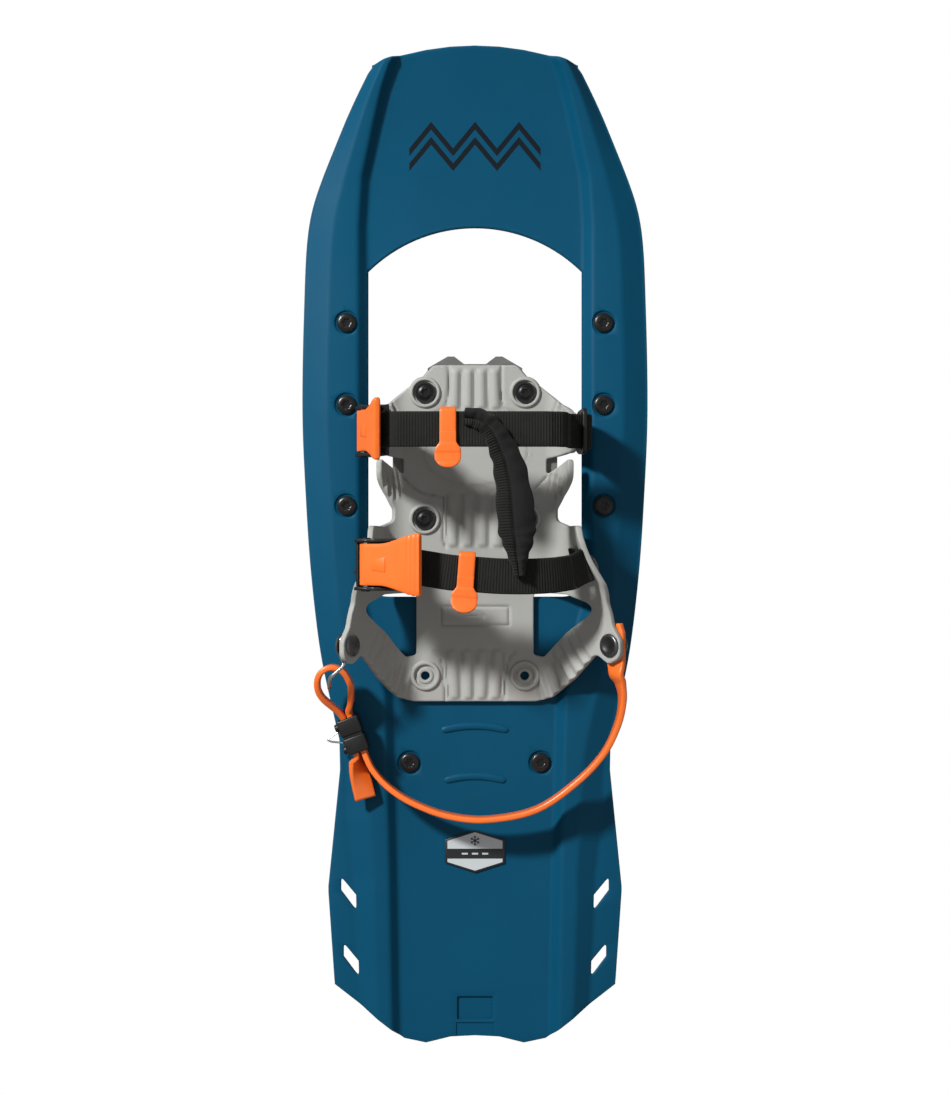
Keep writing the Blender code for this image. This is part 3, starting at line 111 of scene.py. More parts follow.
PLAY = 0.0008             # room between a strap and what it runs through, and in the buckles
TINY = 0.0001             # what keeps two faces of one moulding from lying in one plane
RIVET_HOLE_R = 0.0034


# ---- materials -----------------------------------------------------------------------
def feed(tree, made, inputs):
    """Sets a node's inputs: a socket is linked, anything else is a plain value."""
    for key, value in inputs.items():
        if isinstance(value, bpy.types.NodeSocket):
            tree.links.new(value, made.inputs[key])
        else:
            made.inputs[key].default_value = value


def node(tree, kind, inputs=None, **settings):
    made = tree.nodes.new(kind)
    for key, value in settings.items():
        setattr(made, key, value)
    feed(tree, made, inputs or {})
    return made


def maths(tree, operation, first, second=0.0):
    return node(tree, "ShaderNodeMath", {0: first, 1: second}, operation=operation).outputs[0]


def noise(tree, place, scale, detail=3.0, rough=0.5):
    return node(tree, "ShaderNodeTexNoise", {"Vector": place, "Scale": scale, "Detail": detail,
                                             "Roughness": rough}).outputs["Fac"]


def spread(tree, value, low, high, to_low, to_high):
    return node(tree, "ShaderNodeMapRange",
                {"Value": value, "From Min": low, "From Max": high,
                 "To Min": to_low, "To Max": to_high}).outputs["Result"]


def blended(tree, factor, first, second):
    mix = node(tree, "ShaderNodeMix", data_type="RGBA")
    for key, value in (("Factor", factor), ("A", first), ("B", second)):
        socket = [s for s in mix.inputs if s.name == key and (s.type == "RGBA" or key == "Factor")
                  and s.enabled][0]
        if isinstance(value, bpy.types.NodeSocket):
            tree.links.new(value, socket)
        else:
            socket.default_value = value
    return [s for s in mix.outputs if s.type == "RGBA"][0]


def bump(tree, height, distance):
    return node(tree, "ShaderNodeBump", {"Height": height, "Distance": distance,
                                         "Strength": 1.0}).outputs["Normal"]


def start_material(name, inputs):
    """New material with some inputs of its shader set: the material, its tree, its shader."""
    made = bpy.data.materials.new(name)
    made.use_nodes = True
    shader = made.node_tree.nodes["Principled BSDF"]
    feed(made.node_tree, shader, inputs)
    return made, made.node_tree, shader


def object_place(tree):
    return node(tree, "ShaderNodeTexCoord").outputs["Object"]


def shaded(colour, factor, lift=0.0):
    """A colour times a factor, with a lift, as an opaque colour of at most 1."""
    return (*[min(c * factor + lift, 1.0) for c in colour], 1.0)


def surface(name, colour, rough, metallic=0.0, mottle=0.12, mottle_scale=35.0, grain=900.0,
            grain_depth=0.00003, rough_spread=0.10, wear=0.0, wear_colour=None, scuff=0.0,
            coat=0.0, specular=0.5, printed=None):
    """Moulded or metal surface: soft mottling, fine grain, uneven gloss, scuffs and edge wear."""
    made, tree, shader = start_material(name, {
        "Metallic": metallic, "Specular IOR Level": specular, "Coat Weight": coat,
        "Coat Roughness": 0.25})
    place = object_place(tree)
    soft = noise(tree, place, mottle_scale, 4.0, 0.6)
    tint = blended(tree, spread(tree, soft, 0.3, 0.7, 0.0, 1.0), shaded(colour, 1.0 - mottle),
                   shaded(colour, 1.0 + mottle))
    rough_value = spread(tree, noise(tree, place, mottle_scale * 2.3, 5.0, 0.7), 0.25, 0.75,
                         rough - rough_spread / 2, rough + rough_spread / 2)
    if scuff:
        streak = node(tree, "ShaderNodeMapping", {"Vector": place, "Scale": (1.0, 0.12, 1.0),
                                                  "Rotation": (0.0, 0.0, 0.5)})
        lines = noise(tree, streak.outputs["Vector"], 420.0, 6.0, 0.75)
        marks = spread(tree, lines, 0.60, 0.72, 0.0, scuff)
        tint = blended(tree, marks, tint, shaded(colour, 1.5, 0.03))
    if wear:
        edge = spread(tree, node(tree, "ShaderNodeNewGeometry").outputs["Pointiness"],
                      0.52, 0.60, 0.0, wear)
        tint = blended(tree, edge, tint, (*wear_colour, 1.0))
    if printed:
        tint = blended(tree, printed(tree, place), tint, (*PRINT_COLOUR, 1.0))
    fine = noise(tree, place, grain, 2.0, 0.6)
    feed(tree, shader, {"Base Color": tint, "Roughness": rough_value,
                        "Normal": bump(tree, fine, grain_depth)})
    return made


def cloth(name, colour, pale, pitch, rough=0.85):
    """Woven webbing: yarns across and along from the piece's own map, in metres."""
    made, tree, shader = start_material(name, {
        "Sheen Weight": 0.06, "Sheen Roughness": 0.4, "Specular IOR Level": 0.25})
    flat = node(tree, "ShaderNodeUVMap", uv_map="weave").outputs["UV"]
    place = object_place(tree)
    split = node(tree, "ShaderNodeSeparateXYZ", {"Vector": flat})

    def yarn(axis, step):
        return maths(tree, "SINE", maths(tree, "MULTIPLY", split.outputs[axis], 2 * pi / step))

    weave = maths(tree, "MULTIPLY", yarn("X", pitch), yarn("Y", pitch * 0.62))
    fuzz = noise(tree, place, 2600.0, 3.0, 0.7)
    soft = noise(tree, place, 60.0, 4.0, 0.6)
    shade = spread(tree, weave, -1.0, 1.0, 0.0, 1.0)
    feed(tree, shader, {
        "Base Color": blended(tree, maths(tree, "MULTIPLY", shade, soft), (*colour, 1.0),
                              (*pale, 1.0)),
        "Roughness": spread(tree, fuzz, 0.3, 0.7, rough - 0.08, rough + 0.08),
        "Normal": bump(tree, maths(tree, "ADD", weave, fuzz), 0.00010)})
    return made


PRINT_COLOUR = (0.006, 0.010, 0.014)
PEAK_PITCH = 0.0257       # plain zigzag printed on the nose, as two lines
PEAK_RISE = 0.0150
PEAK_LINES_Y = (0.2240, 0.2325)
PEAK_HALF = 0.0385        # half width of the print
PEAK_LINE = 0.0022        # half of a line's height


def peaks(tree, place):
    """Two lines of plain peaks on the nose, 0 to 1."""
    split = node(tree, "ShaderNodeSeparateXYZ", {"Vector": place})
    x, y = split.outputs["X"], split.outputs["Y"]
    wave = maths(tree, "PINGPONG", maths(tree, "ADD", x, PEAK_HALF), PEAK_PITCH / 2)
    line = maths(tree, "MULTIPLY", wave, 2 * PEAK_RISE / PEAK_PITCH)
    inside = maths(tree, "LESS_THAN", maths(tree, "ABSOLUTE", x), PEAK_HALF)
    found = 0.0
    for foot in PEAK_LINES_Y:
        off = maths(tree, "SUBTRACT", maths(tree, "SUBTRACT", y, foot), line)
        near = maths(tree, "LESS_THAN", maths(tree, "ABSOLUTE", off), PEAK_LINE)
        found = maths(tree, "MAXIMUM", found, near)
    return maths(tree, "MULTIPLY", inside, found)


BLUE = surface("deck_moulding", (0.0012, 0.0580, 0.1160), 0.46, specular=0.10, mottle=0.05,
               mottle_scale=14.0, grain=1400.0, grain_depth=0.000018, scuff=0.06, wear=0.30,
               wear_colour=(0.03, 0.17, 0.26), printed=peaks)
GREY = surface("harness_rubber", (0.320, 0.321, 0.302), 0.60, specular=0.3, mottle=0.05,
               mottle_scale=26.0, grain=1700.0, grain_depth=0.00002, scuff=0.05)
ORANGE = surface("orange_plastic", (0.800, 0.140, 0.016), 0.42, specular=0.35, mottle=0.05,
                 mottle_scale=60.0, grain=1500.0, grain_depth=0.000012, rough_spread=0.12,
                 scuff=0.04, coat=0.10)
ORANGE_SOFT = surface("orange_urethane", (0.820, 0.150, 0.016), 0.36, mottle=0.06,
                      mottle_scale=50.0, grain=1200.0, grain_depth=0.000015, coat=0.15)
BLACK = surface("black_plastic", (0.0075, 0.0075, 0.0075), 0.42, specular=0.35, mottle=0.25,
                mottle_scale=70.0, grain=1500.0, grain_depth=0.00002, rough_spread=0.14,
                scuff=0.05)
SCREW = surface("black_oxide", (0.0050, 0.0050, 0.0054), 0.28, specular=0.35, mottle=0.35,
                mottle_scale=160.0, grain=2200.0, grain_depth=0.00001, wear=0.5,
                wear_colour=(0.05, 0.05, 0.05))
STEEL = surface("galvanised_steel", (0.300, 0.292, 0.262), 0.42, metallic=1.0, mottle=0.16,
                mottle_scale=95.0, grain=1900.0, grain_depth=0.000012, rough_spread=0.20,
                scuff=0.20, wear=0.5, wear_colour=(0.62, 0.61, 0.58))
STEEL_DARK = surface("dark_steel", (0.060, 0.060, 0.062), 0.34, metallic=0.9, mottle=0.25,
                     mottle_scale=150.0, grain=2100.0, rough_spread=0.16, wear=0.5,
                     wear_colour=(0.30, 0.30, 0.30))
BRIGHT_STEEL = surface("bright_wire", (0.560, 0.550, 0.530), 0.24, metallic=1.0, mottle=0.10,
                       mottle_scale=140.0, grain=2000.0, grain_depth=0.000006, scuff=0.10)
WEBBING = cloth("nylon_webbing", (0.0040, 0.0044, 0.0038), (0.030, 0.0295, 0.0250), 0.00160)
PAD_CLOTH = cloth("pad_fabric", (0.0035, 0.0037, 0.0037), (0.014, 0.014, 0.0135), 0.0008)
CLAW_STEEL = surface("claw_steel", (0.170, 0.168, 0.155), 0.45, metallic=0.35, mottle=0.2,
                     mottle_scale=90.0, grain=1900.0, scuff=0.15)
SILVER = surface("badge_silver", (0.480, 0.510, 0.530), 0.40, mottle=0.05, grain=2400.0,
                 grain_depth=0.000006)
INK = surface("badge_ink", (0.010, 0.011, 0.013), 0.38, mottle=0.15, grain=2400.0,
              grain_depth=0.000006)


# ---- geometry helpers ----------------------------------------------------------------
def ease(t):
    t = min(max(t, 0.0), 1.0)
    return t * t * (3.0 - 2.0 * t)


def along(points, place):
    """Straight-line value at a place in a list of (place, value), in either order."""
    ordered = sorted(points)
    return float(np.interp(place, [p[0] for p in ordered], [p[1] for p in ordered]))


def catmull(p0, p1, p2, p3, t):
    return 0.5 * (2 * p1 + (p2 - p0) * t + (2 * p0 - 5 * p1 + 4 * p2 - p3) * t * t
                  + (3 * p1 - p0 - 3 * p2 + p3) * t ** 3)


def smooth_path(points, steps):
    """Points on a Catmull-Rom curve through tuples of any length."""
    rows = [points[0], *points, points[-1]]
    out = []
    for k in range(len(points) - 1):
        p0, p1, p2, p3 = rows[k:k + 4]
        for j in range(steps):
            out.append(tuple(catmull(a, b, c, d, j / steps)
                             for a, b, c, d in zip(p0, p1, p2, p3)))
    out.append(tuple(points[-1]))
    return out


def even_path(rows, step):
    """Rows of numbers, position first, resampled so that neighbours are a step apart."""
    rows = np.array(rows, float)
    gone = np.concatenate([[0.0], np.cumsum(np.linalg.norm(np.diff(rows[:, :3], axis=0), axis=1))])
    count = max(int(round(gone[-1] / step)), 2)
    want = np.linspace(0.0, gone[-1], count + 1)
    return np.column_stack([np.interp(want, gone, rows[:, k]) for k in range(rows.shape[1])])


def around(path, k):
    """Neighbours of item k of an open path; an end is its own neighbour."""
    return path[max(k - 1, 0)], path[min(k + 1, len(path) - 1)]


def corner_arc(start, corner, end, segments):
    """Points of the arc that replaces a corner between two places on its sides."""
    out = []
    for j in range(segments + 1):
        t = j / segments
        point = start * (1 - t) ** 2 + corner * 2 * t * (1 - t) + end * t * t
        out.append((point.x, point.y))
    return out


def rounded(corners, segments=5):
    """Outline with an arc at each (x, y, radius) corner."""
    out = []
    count = len(corners)
    for k in range(count):
        x, y, radius = corners[k]
        here = Vector((x, y))
        back = Vector(corners[k - 1][:2]) - here
        ahead = Vector(corners[(k + 1) % count][:2]) - here
        if radius <= 0.0:
            out.append((x, y))
            continue
        half = back.angle(ahead) / 2.0
        reach = min(radius / max(sin(half) / cos(half), 1e-6),
                    0.49 * back.length, 0.49 * ahead.length)
        out += corner_arc(here + back.normalized() * reach, here,
                          here + ahead.normalized() * reach, segments)
    return out


def mirrored(points):
    """Points on the other side of X = 0, in reverse, with any further values kept."""
    return [(-point[0], *point[1:]) for point in reversed(points)]


def centred_box(half_x, half_y, centre_y=0.0, radius=0.0, segments=3):
    """Rectangle about (0, centre_y), with rounded corners."""
    low, high = centre_y - half_y, centre_y + half_y
    return rounded([(-half_x, low, radius), (half_x, low, radius), (half_x, high, radius),
                    (-half_x, high, radius)], segments)


def circle(cx, cy, radius, count=32):
    return [(cx + radius * cos(2 * pi * k / count), cy + radius * sin(2 * pi * k / count))
            for k in range(count)]


def frame_at(origin, along_u, across_v, up_w):
    """Matrix whose columns are three directions and an origin."""
    made = Matrix.Identity(4)
    for k, column in enumerate((along_u, across_v, up_w)):
        made.col[k] = (*column, 0.0)
    made.col[3] = (*origin, 1.0)
    return made


def join_loops(made, loops):
    """Four-sided faces between neighbouring closed loops of vertices."""
    count = len(loops[0])
    for low, high in zip(loops, loops[1:]):
        for k in range(count):
            j = (k + 1) % count
            made.faces.new((low[k], low[j], high[j], high[k]))


def settle(made, place=None):
    """Moves a finished mesh by a matrix and turns its faces outwards."""
    if place is not None:
        bmesh.ops.transform(made, matrix=place, verts=made.verts)
    bmesh.ops.recalc_face_normals(made, faces=made.faces)
    return made


def prism(outline, low, high, place=None):
    """Closed prism of an outline in X and Y between two heights, moved by a matrix."""
    made = bmesh.new()
    base = [made.verts.new((x, y, low)) for x, y in outline]
    lifted = bmesh.ops.extrude_face_region(made, geom=[made.faces.new(base)])
    tops = [item for item in lifted["geom"] if isinstance(item, bmesh.types.BMVert)]
    bmesh.ops.translate(made, vec=(0, 0, high - low), verts=tops)
    return settle(made, place)


def turned(profile, place=None, count=48, wobble=None):
    """Solid of revolution about Z of (radius, height) points, closed at radius 0 or as a ring."""
    made = bmesh.new()
    rows = []
    for radius, height in profile:
        if radius == 0.0:
            rows.append([made.verts.new((0, 0, height))] * count)
        else:
            rows.append([made.verts.new((x, y, height)) for x, y in circle(0, 0, radius, count)])
    pairs = list(zip(rows, rows[1:]))
    if profile[0][0] > 0.0:
        pairs.append((rows[-1], rows[0]))
    for low, high in pairs:
        for k in range(count):
            j = (k + 1) % count
            corners = []
            for corner in (low[k], low[j], high[j], high[k]):
                if corner not in corners:
                    corners.append(corner)
            made.faces.new(corners)
    if wobble:
        for vert in made.verts:
            wobble(vert)
    return settle(made, place)


def tube(points, radius, count=12, steps=6):
    """Round wire along a smooth curve, with domed ends."""
    path = [Vector(point) for point in smooth_path([tuple(p) for p in points], steps)]
    made = bmesh.new()
    rows = []
    side = None
    for k, point in enumerate(path):
        behind, ahead = around(path, k)
        forward = (ahead - behind).normalized()
        if side is None:
            side = forward.orthogonal().normalized()
        side = (side - forward * side.dot(forward)).normalized()
        up = forward.cross(side)
        size = radius * (0.6 if k in (0, len(path) - 1) else 1.0)
        rows.append([made.verts.new(point + side * x + up * y)
                     for x, y in circle(0, 0, size, count)])
    join_loops(made, rows)
    made.faces.new(rows[0])
    made.faces.new(rows[-1])
    return settle(made)


def merge(pieces):
    whole = pieces[0]
    for piece in pieces[1:]:
        spare = bpy.data.meshes.new("spare")
        piece.to_mesh(spare)
        piece.free()
        whole.from_mesh(spare)
        bpy.data.meshes.remove(spare)
    return whole


def bevelled(made, width, segments=3, angle=30.0):
    """Rounds every edge sharper than an angle."""
    sharp = [e for e in made.edges
             if len(e.link_faces) == 2 and e.calc_face_angle(0.0) > radians(angle)]
    bmesh.ops.bevel(made, geom=sharp, offset=width, offset_type="OFFSET", segments=segments,
                    profile=0.5, affect="EDGES", clamp_overlap=True)
    return made


def smooth(item, angle):
    """Smooth shading that stays sharp at edges over an angle; 0 leaves no edge sharp."""
    item.data.shade_smooth()
    if angle:
        item.data.set_sharp_from_angle(angle=radians(angle))


def put(name, made, finish_with, body=None, stands_for=(), angle=38.0):
    """Object from a mesh in the row frame, riding on a body and standing for CAD nodes."""
    mesh = bpy.data.meshes.new(name)
    made.to_mesh(mesh)
    made.free()
    item = bpy.data.objects.new(name, mesh)
    bpy.context.collection.objects.link(item)
    mesh.materials.append(finish_with)
    smooth(item, angle)
    if body:
        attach(item, body)
    if stands_for:
        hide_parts(*stands_for)
    return item


def apply_all(item):
    """Replaces an object's mesh by the result of its modifiers."""
    done = bpy.data.meshes.new_from_object(
        item.evaluated_get(bpy.context.evaluated_depsgraph_get()))
    old = item.data
    item.modifiers.clear()
    item.data = done
    bpy.data.meshes.remove(old)


def combine(item, tools, operation):
    """EXACT Boolean of an object with several meshes, applied at once."""
    spare = []
    for tool in tools:
        mesh = bpy.data.meshes.new("tool")
        tool.to_mesh(mesh)
        tool.free()
        other = bpy.data.objects.new("tool", mesh)
        bpy.context.collection.objects.link(other)
        step = item.modifiers.new(operation, "BOOLEAN")
        step.operation = operation
        step.solver = "EXACT"
        step.object = other
        spare.append(other)
    apply_all(item)
    for other in spare:
        mesh = other.data
        bpy.data.objects.remove(other)
        bpy.data.meshes.remove(mesh)


# ---- deck ----------------------------------------------------------------------------
# Lines along the deck: (share of the half length, value), from toe to heel.
SIDE = (                  # half width from the nose to the waist, as a share
    (0.962, 0.588), (0.877, 0.742), (0.757, 0.885), (0.637, 0.966), (0.476, 0.991),
    (0.277, 1.000), (0.116, 0.982), (-0.045, 0.951), (-0.205, 0.897), (-0.325, 0.825),
    (-0.384, 0.786),
)
TAIL_SIDE = ((-0.384, 0.786), (-0.445, 0.782), (-0.685, 0.851), (-0.878, 0.813))
CREASE = (                # shift of the rail's inner crease from the opening's side
    (0.986, -0.0235), (0.910, -0.0140), (0.850, -0.0090), (0.750, -0.0020), (0.650, 0.0),
    (-0.110, 0.0), (-0.200, -0.0070), (-0.290, -0.0155), (-0.980, -0.0205),
)
FLANGE = (                # width of the flat flange outside the rail
    (1.0, RIM), (-0.384, RIM), (-0.545, 0.0075), (-0.665, 0.0155), (-0.880, 0.0153),
)
TAIL_EDGE = (             # (distance from the centre line, distance in from the tail's end)
    (0.0, 0.0052), (0.0130, 0.0050), (0.0165, 0.0038), (0.0330, 0.0), (0.0370, 0.0),
    (0.0828, 0.0355),
)
SMOOTH_SIDE = [(y, x) for y, x in smooth_path(SIDE, 6)]
ROW_PITCH = 0.0036
FILLET = 0.0020           # reach of the rounding at each crease of the moulding
FILLET_STEPS = 4
# How the deck's ends round over: (distance in from the end, drop of the top surface).
END_ROUND = ((0.0, 0.0012), (0.0002, 0.0006), (0.0007, 0.0001), (0.0014, 0.0))
# Rim section outside the last column: (distance in from the edge, drop from the top).
RIM_SECTION = ((0.0010, 0.0), (0.0004, 0.0002), (0.0, 0.0009), (0.0, 0.0021), (0.0005, 0.0029))


def half_width(y):
    share = y / (LENGTH / 2)
    points = SMOOTH_SIDE if share > SIDE[-1][0] else TAIL_SIDE
    return along(points, share) * WIDTH / 2


def crease(y):
    return OPENING_HALF + LIP + along(CREASE, y / (LENGTH / 2))


def floor_z(y):
    lift = max(y - ROCKER_START, 0.0) / (LENGTH / 2 - ROCKER_START)
    return FLOOR_Z + NOSE_LIFT * lift * lift


def deck_columns(y):
    """(x, height above the floor) across half of the deck, creases rounded, centre to rim."""
    edge = half_width(y)
    foot = edge - along(FLANGE, y / (LENGTH / 2))
    inner = min(crease(y), foot - STEP_RUN - 0.004)
    top_in = inner + STEP_RUN
    top_out = foot - min(SLOPE_RUN, 0.55 * (foot - top_in))
    line = [(0.0, 0.0, 0), (inner * 0.33, 0.0, 0), (inner * 0.66, 0.0, 0), (inner, 0.0, 1),
            (top_in, RAIL_RISE, 1), ((top_in + top_out) / 2, RAIL_RISE, 0),
            (top_out, RAIL_RISE, 1), (foot, 0.0, 1), (edge - RIM_SECTION[0][0], 0.0, 0)]
    out = []
    for k, (x, z, is_crease) in enumerate(line):
        if not is_crease:
            out.append((x, z))
            continue
        here = Vector((x, z))
        back = Vector(line[k - 1][:2]) - here
        ahead = Vector(line[k + 1][:2]) - here
        start = here + back.normalized() * min(FILLET, 0.45 * back.length)
        end = here + ahead.normalized() * min(FILLET, 0.45 * ahead.length)
        out += corner_arc(start, here, end, FILLET_STEPS)
    return out, edge


def nose_edge(x):
    return LENGTH / 2 - (NOSE_RADIUS - sqrt(NOSE_RADIUS ** 2 - x * x))


def deck_surface(y_line, x):
    """Place along the deck of a point on one cross line; the ends follow the end edges."""
    nose_y = SIDE[0][0] * LENGTH / 2
    tail_y = TAIL_SIDE[-1][0] * LENGTH / 2
    to_nose = ease((y_line - 0.66 * nose_y) / (0.34 * nose_y))
    to_tail = ease((y_line - 0.70 * tail_y) / (0.30 * tail_y))
    tail_edge = -LENGTH / 2 + along(TAIL_EDGE, abs(x))
    nose_gain = nose_edge(x) - nose_edge(half_width(nose_y))
    return y_line + to_nose * nose_gain + to_tail * (tail_edge - tail_y)


def deck_mesh():
    start = TAIL_SIDE[-1][0] * LENGTH / 2
    end = SIDE[0][0] * LENGTH / 2
    inner = np.linspace(start, end, int((end - start) / ROW_PITCH) + 1)[1:-1]
    rows = [(start, inset, drop) for inset, drop in END_ROUND]
    rows += [(y, 0.0, 0.0) for y in inner]
    rows += [(end, -inset, drop) for inset, drop in reversed(END_ROUND)]
    made = bmesh.new()
    loops = []
    for y_line, inset, drop in rows:
        half, edge = deck_columns(y_line)
        rim = [(edge - d, -max(h, drop)) for d, h in RIM_SECTION[1:]]
        under = [(x, z - DECK_WALL + drop / 2) for x, z in reversed(half)]
        right = [(x, z - drop) for x, z in half] + rim + under
        loop = []
        for x, z in right + mirrored(right[1:-1]):
            y = deck_surface(y_line, x) + inset
            loop.append(made.verts.new((x, y, floor_z(y) + z)))
        loops.append(loop)
    join_loops(made, loops)
    count = len(loops[0])
    last = len(right) - 1
    columns = len(half)
    for loop in (loops[0], loops[-1]):
        strips = [(k, k + 1, last - k - 1, last - k) for k in range(columns - 1)]
        strips.append(tuple(range(columns - 1, last - columns + 2)))
        for strip in strips:
            for mirror in (1, -1):
                made.faces.new([loop[(mirror * k) % count] for k in strip])
    return settle(made)


def offset(outline, distance):
    """Outline moved outwards by a distance."""
    points = [Vector(p) for p in outline]
    area = sum(a.x * b.y - b.x * a.y for a, b in zip(points, points[1:] + points[:1]))
    turn = 1.0 if area > 0 else -1.0
    out = []
    for k, here in enumerate(points):
        run_in = (here - points[k - 1]).normalized()
        run_out = (points[(k + 1) % len(points)] - here).normalized()
        before = Vector((run_in.y, -run_in.x)) * turn
        after = Vector((run_out.y, -run_out.x)) * turn
        mean = (before + after).normalized()
        out.append(tuple(here + mean * distance / max(mean.dot(before), 0.5)))
    return out


def flared_cutter(outline, surface_z, low, ease_over=0.0009):
    """Cutter whose walls open out where they meet a surface, so that the cut's edge is round.

    Each ring is (distance out, height over the surface); the lowest lies at the height low."""
    rings = [(0.0, None)]
    for k in range(4):
        angle = pi / 2 * k / 3
        rings.append((ease_over * (1 - cos(angle)), -ease_over * (1 - sin(angle))))
    rings.append((ease_over * 1.6, 0.004))
    rings.append((ease_over * 1.6, 0.020))
    made = bmesh.new()
    loops = []
    for out, rise in rings:
        loop = []
        for (x0, y0), (x, y) in zip(outline, offset(outline, out)):
            z = low if rise is None else surface_z(x0, y0) + rise
            loop.append(made.verts.new((x, y, z)))
        loops.append(loop)
    join_loops(made, loops)
    made.faces.new(loops[0])
    made.faces.new(loops[-1])
    return settle(made)


def opening_outline():
    half = OPENING_HALF
    sweep_angle = asin(half / OPENING_ARC)
    centre_y = OPENING_SIDE_END - OPENING_ARC * cos(sweep_angle)
    steps = 48
    front = []
    for k in range(steps + 1):
        angle = sweep_angle * (1 - 2 * k / steps)
        front.append((OPENING_ARC * sin(angle), centre_y + OPENING_ARC * cos(angle), 0.0))
    rear = [(-half, OPENING_REAR, OPENING_CORNER), (half, OPENING_REAR, OPENING_CORNER)]
    return rounded(front + rear, 10)


SLOT_STARTS = (0.0988, 0.0598)    # distance of the tail slots' front corners from the tail
SLOT_INSET = 0.0070
SLOT_SHAPE = ((0.0, 0.0), (0.0088, 0.0106), (0.0090, 0.0200), (0.0, 0.0080))    # in, and back
POCKET_FROM_TAIL = 0.0215         # moulded pocket and tab at the tail's centre
POCKET_HALF = (0.0104, 0.00675)
POCKET_DEPTH = 0.0015
TAB_HALF = 0.0110
TAB_GAP = 0.0086
TAB_DEPTH = 0.0007
CUT_CORNER = 0.001


def slot_outlines():
    out = []
    for start in SLOT_STARTS:
        y = -LENGTH / 2 + start
        outer = half_width(y) - SLOT_INSET
        shape = rounded([(outer - inwards, y - back, CUT_CORNER) for inwards, back in SLOT_SHAPE],
                        3)
        out += [shape, mirrored(shape)]
    return out


def screw_seat(x, y, top):
    seat = top - SEAT_DEPTH
    profile = [(0.0, 0.0), (HOLE_R, 0.0), (HOLE_R, seat), (SEAT_R - 0.0010, seat),
               (SEAT_R - 0.0003, seat + 0.0003), (SEAT_R, seat + 0.0008),
               (SEAT_R + 0.0003, top - 0.0001), (SEAT_R + 0.0009, top + 0.0002),
               (SEAT_R + 0.0011, top + 0.01), (0.0, top + 0.01)]
    return turned(profile, Matrix.Translation((x, y, 0.0)), 48)


def flat_floor(x, y):
    return FLOOR_Z


def deck_piece():
    deck = put("deck_shell", deck_mesh(), BLUE)
    cuts = [flared_cutter(opening_outline(), lambda x, y: floor_z(y), 0.0)]
    cuts += [flared_cutter(shape, flat_floor, 0.0, 0.0006) for shape in slot_outlines()]
    cuts += [screw_seat(x, y, FLOOR_Z + RAIL_RISE) for x, y in RAIL_SCREWS]
    cuts += [screw_seat(x, y, FLOOR_Z) for x, y in HEEL_SCREWS]
    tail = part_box("deck")[0].y
    pocket_y = tail + POCKET_FROM_TAIL
    pocket = centred_box(*POCKET_HALF, pocket_y, CUT_CORNER)
    cuts.append(flared_cutter(pocket, flat_floor, FLOOR_Z - POCKET_DEPTH, 0.0005))
    tab_front = pocket_y - TAB_GAP
    tab = [(-TAB_HALF, tail - 0.01), (TAB_HALF, tail - 0.01), (TAB_HALF, tab_front),
           (-TAB_HALF, tab_front)]
    cuts.append(flared_cutter(tab, flat_floor, FLOOR_Z - TAB_DEPTH, 0.0003))
    combine(deck, [merge(cuts)], "DIFFERENCE")
    smooth(deck, 35)
    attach(deck, "frame")
    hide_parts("deck")


deck_piece()


# ---- harness -------------------------------------------------------------------------
def bed_half(t):
    return BED_HALF_HEEL + (BED_HALF_TOE - BED_HALF_HEEL) * ease((t - LEAN_TO) / 0.025)


def lean_at(side, t):
    share = ease((t - LEAN_TO) / (LEAN_FROM[side] - LEAN_TO))
    return LEAN_HEEL[side] + (LEAN_TOE - LEAN_HEEL[side]) * share


def bent(s, t, n):
    """World place of a point of the flat harness: s across, t along, n above its underside."""
    side = -1 if s < 0 else 1
    flat = bed_half(t)
    rest = abs(s) - flat
    if rest <= 0.0:
        return Vector((s, t, HARNESS_Z + n))
    lean = lean_at(side, t)
    angle = min(rest / BEND_R, lean)
    straight = max(rest - BEND_R * lean, 0.0)
    x = flat + (BEND_R - n) * sin(angle) + straight * cos(angle)
    z = HARNESS_Z + BEND_R - (BEND_R - n) * cos(angle) + straight * sin(angle)
    return Vector((side * x, t, z))


def wing_frame(s, t):
    """Frame on a wing's outer face at a flat place: up the wing, along it, and out of it."""
    step = 0.002 if s > 0 else -0.002
    up = (bent(s + step, t, 0.0) - bent(s - step, t, 0.0)).normalized()
    toe = (bent(s, t + 0.004, 0.0) - bent(s, t - 0.004, 0.0)).normalized()
    out = up.cross(toe).normalized()
    if out.dot(bent(s, t, 0.0) - bent(s, t, HARNESS_T)) < 0:
        out = -out
    return frame_at(bent(s, t, 0.0), up, toe, out)


HARNESS_OUTLINE = (
    (0.0245, 0.1082, 0.005), (0.0300, 0.1020, 0.004), (0.0530, 0.0850, 0.010),
    (0.0680, 0.0795, 0.006), (TOE_WING_TOP, 0.0790, 0.005), (TOE_WING_TOP, 0.0560, 0.005),
    (0.0600, 0.0560, 0.004), (0.0425, 0.0530, 0.0015), (0.0425, 0.0440, 0.0015),
    (0.0560, 0.0505, 0.004),
    (0.0650, 0.0535, 0.009), (0.0650, 0.0420, 0.009), (0.0545, 0.0310, 0.004),
    (0.0495, 0.0235, 0.004), (0.0495, 0.0165, 0.004), (0.0600, 0.0135, 0.004),
    (0.0960, 0.0135, 0.008), (INSTEP_WING_TOP, 0.0040, 0.008),
    (INSTEP_WING_TOP, -0.0200, 0.008), (0.0950, -0.0310, 0.008), (0.0960, -0.0440, 0.008),
    (0.1020, -0.0520, 0.006), (0.1020, -0.0620, 0.006), (0.0930, -0.0660, 0.005),
    (0.0830, -0.0600, 0.006), (0.0650, -0.0755, 0.012), (0.0470, -0.0870, 0.010),
    (0.0360, -0.0895, 0.010),
)
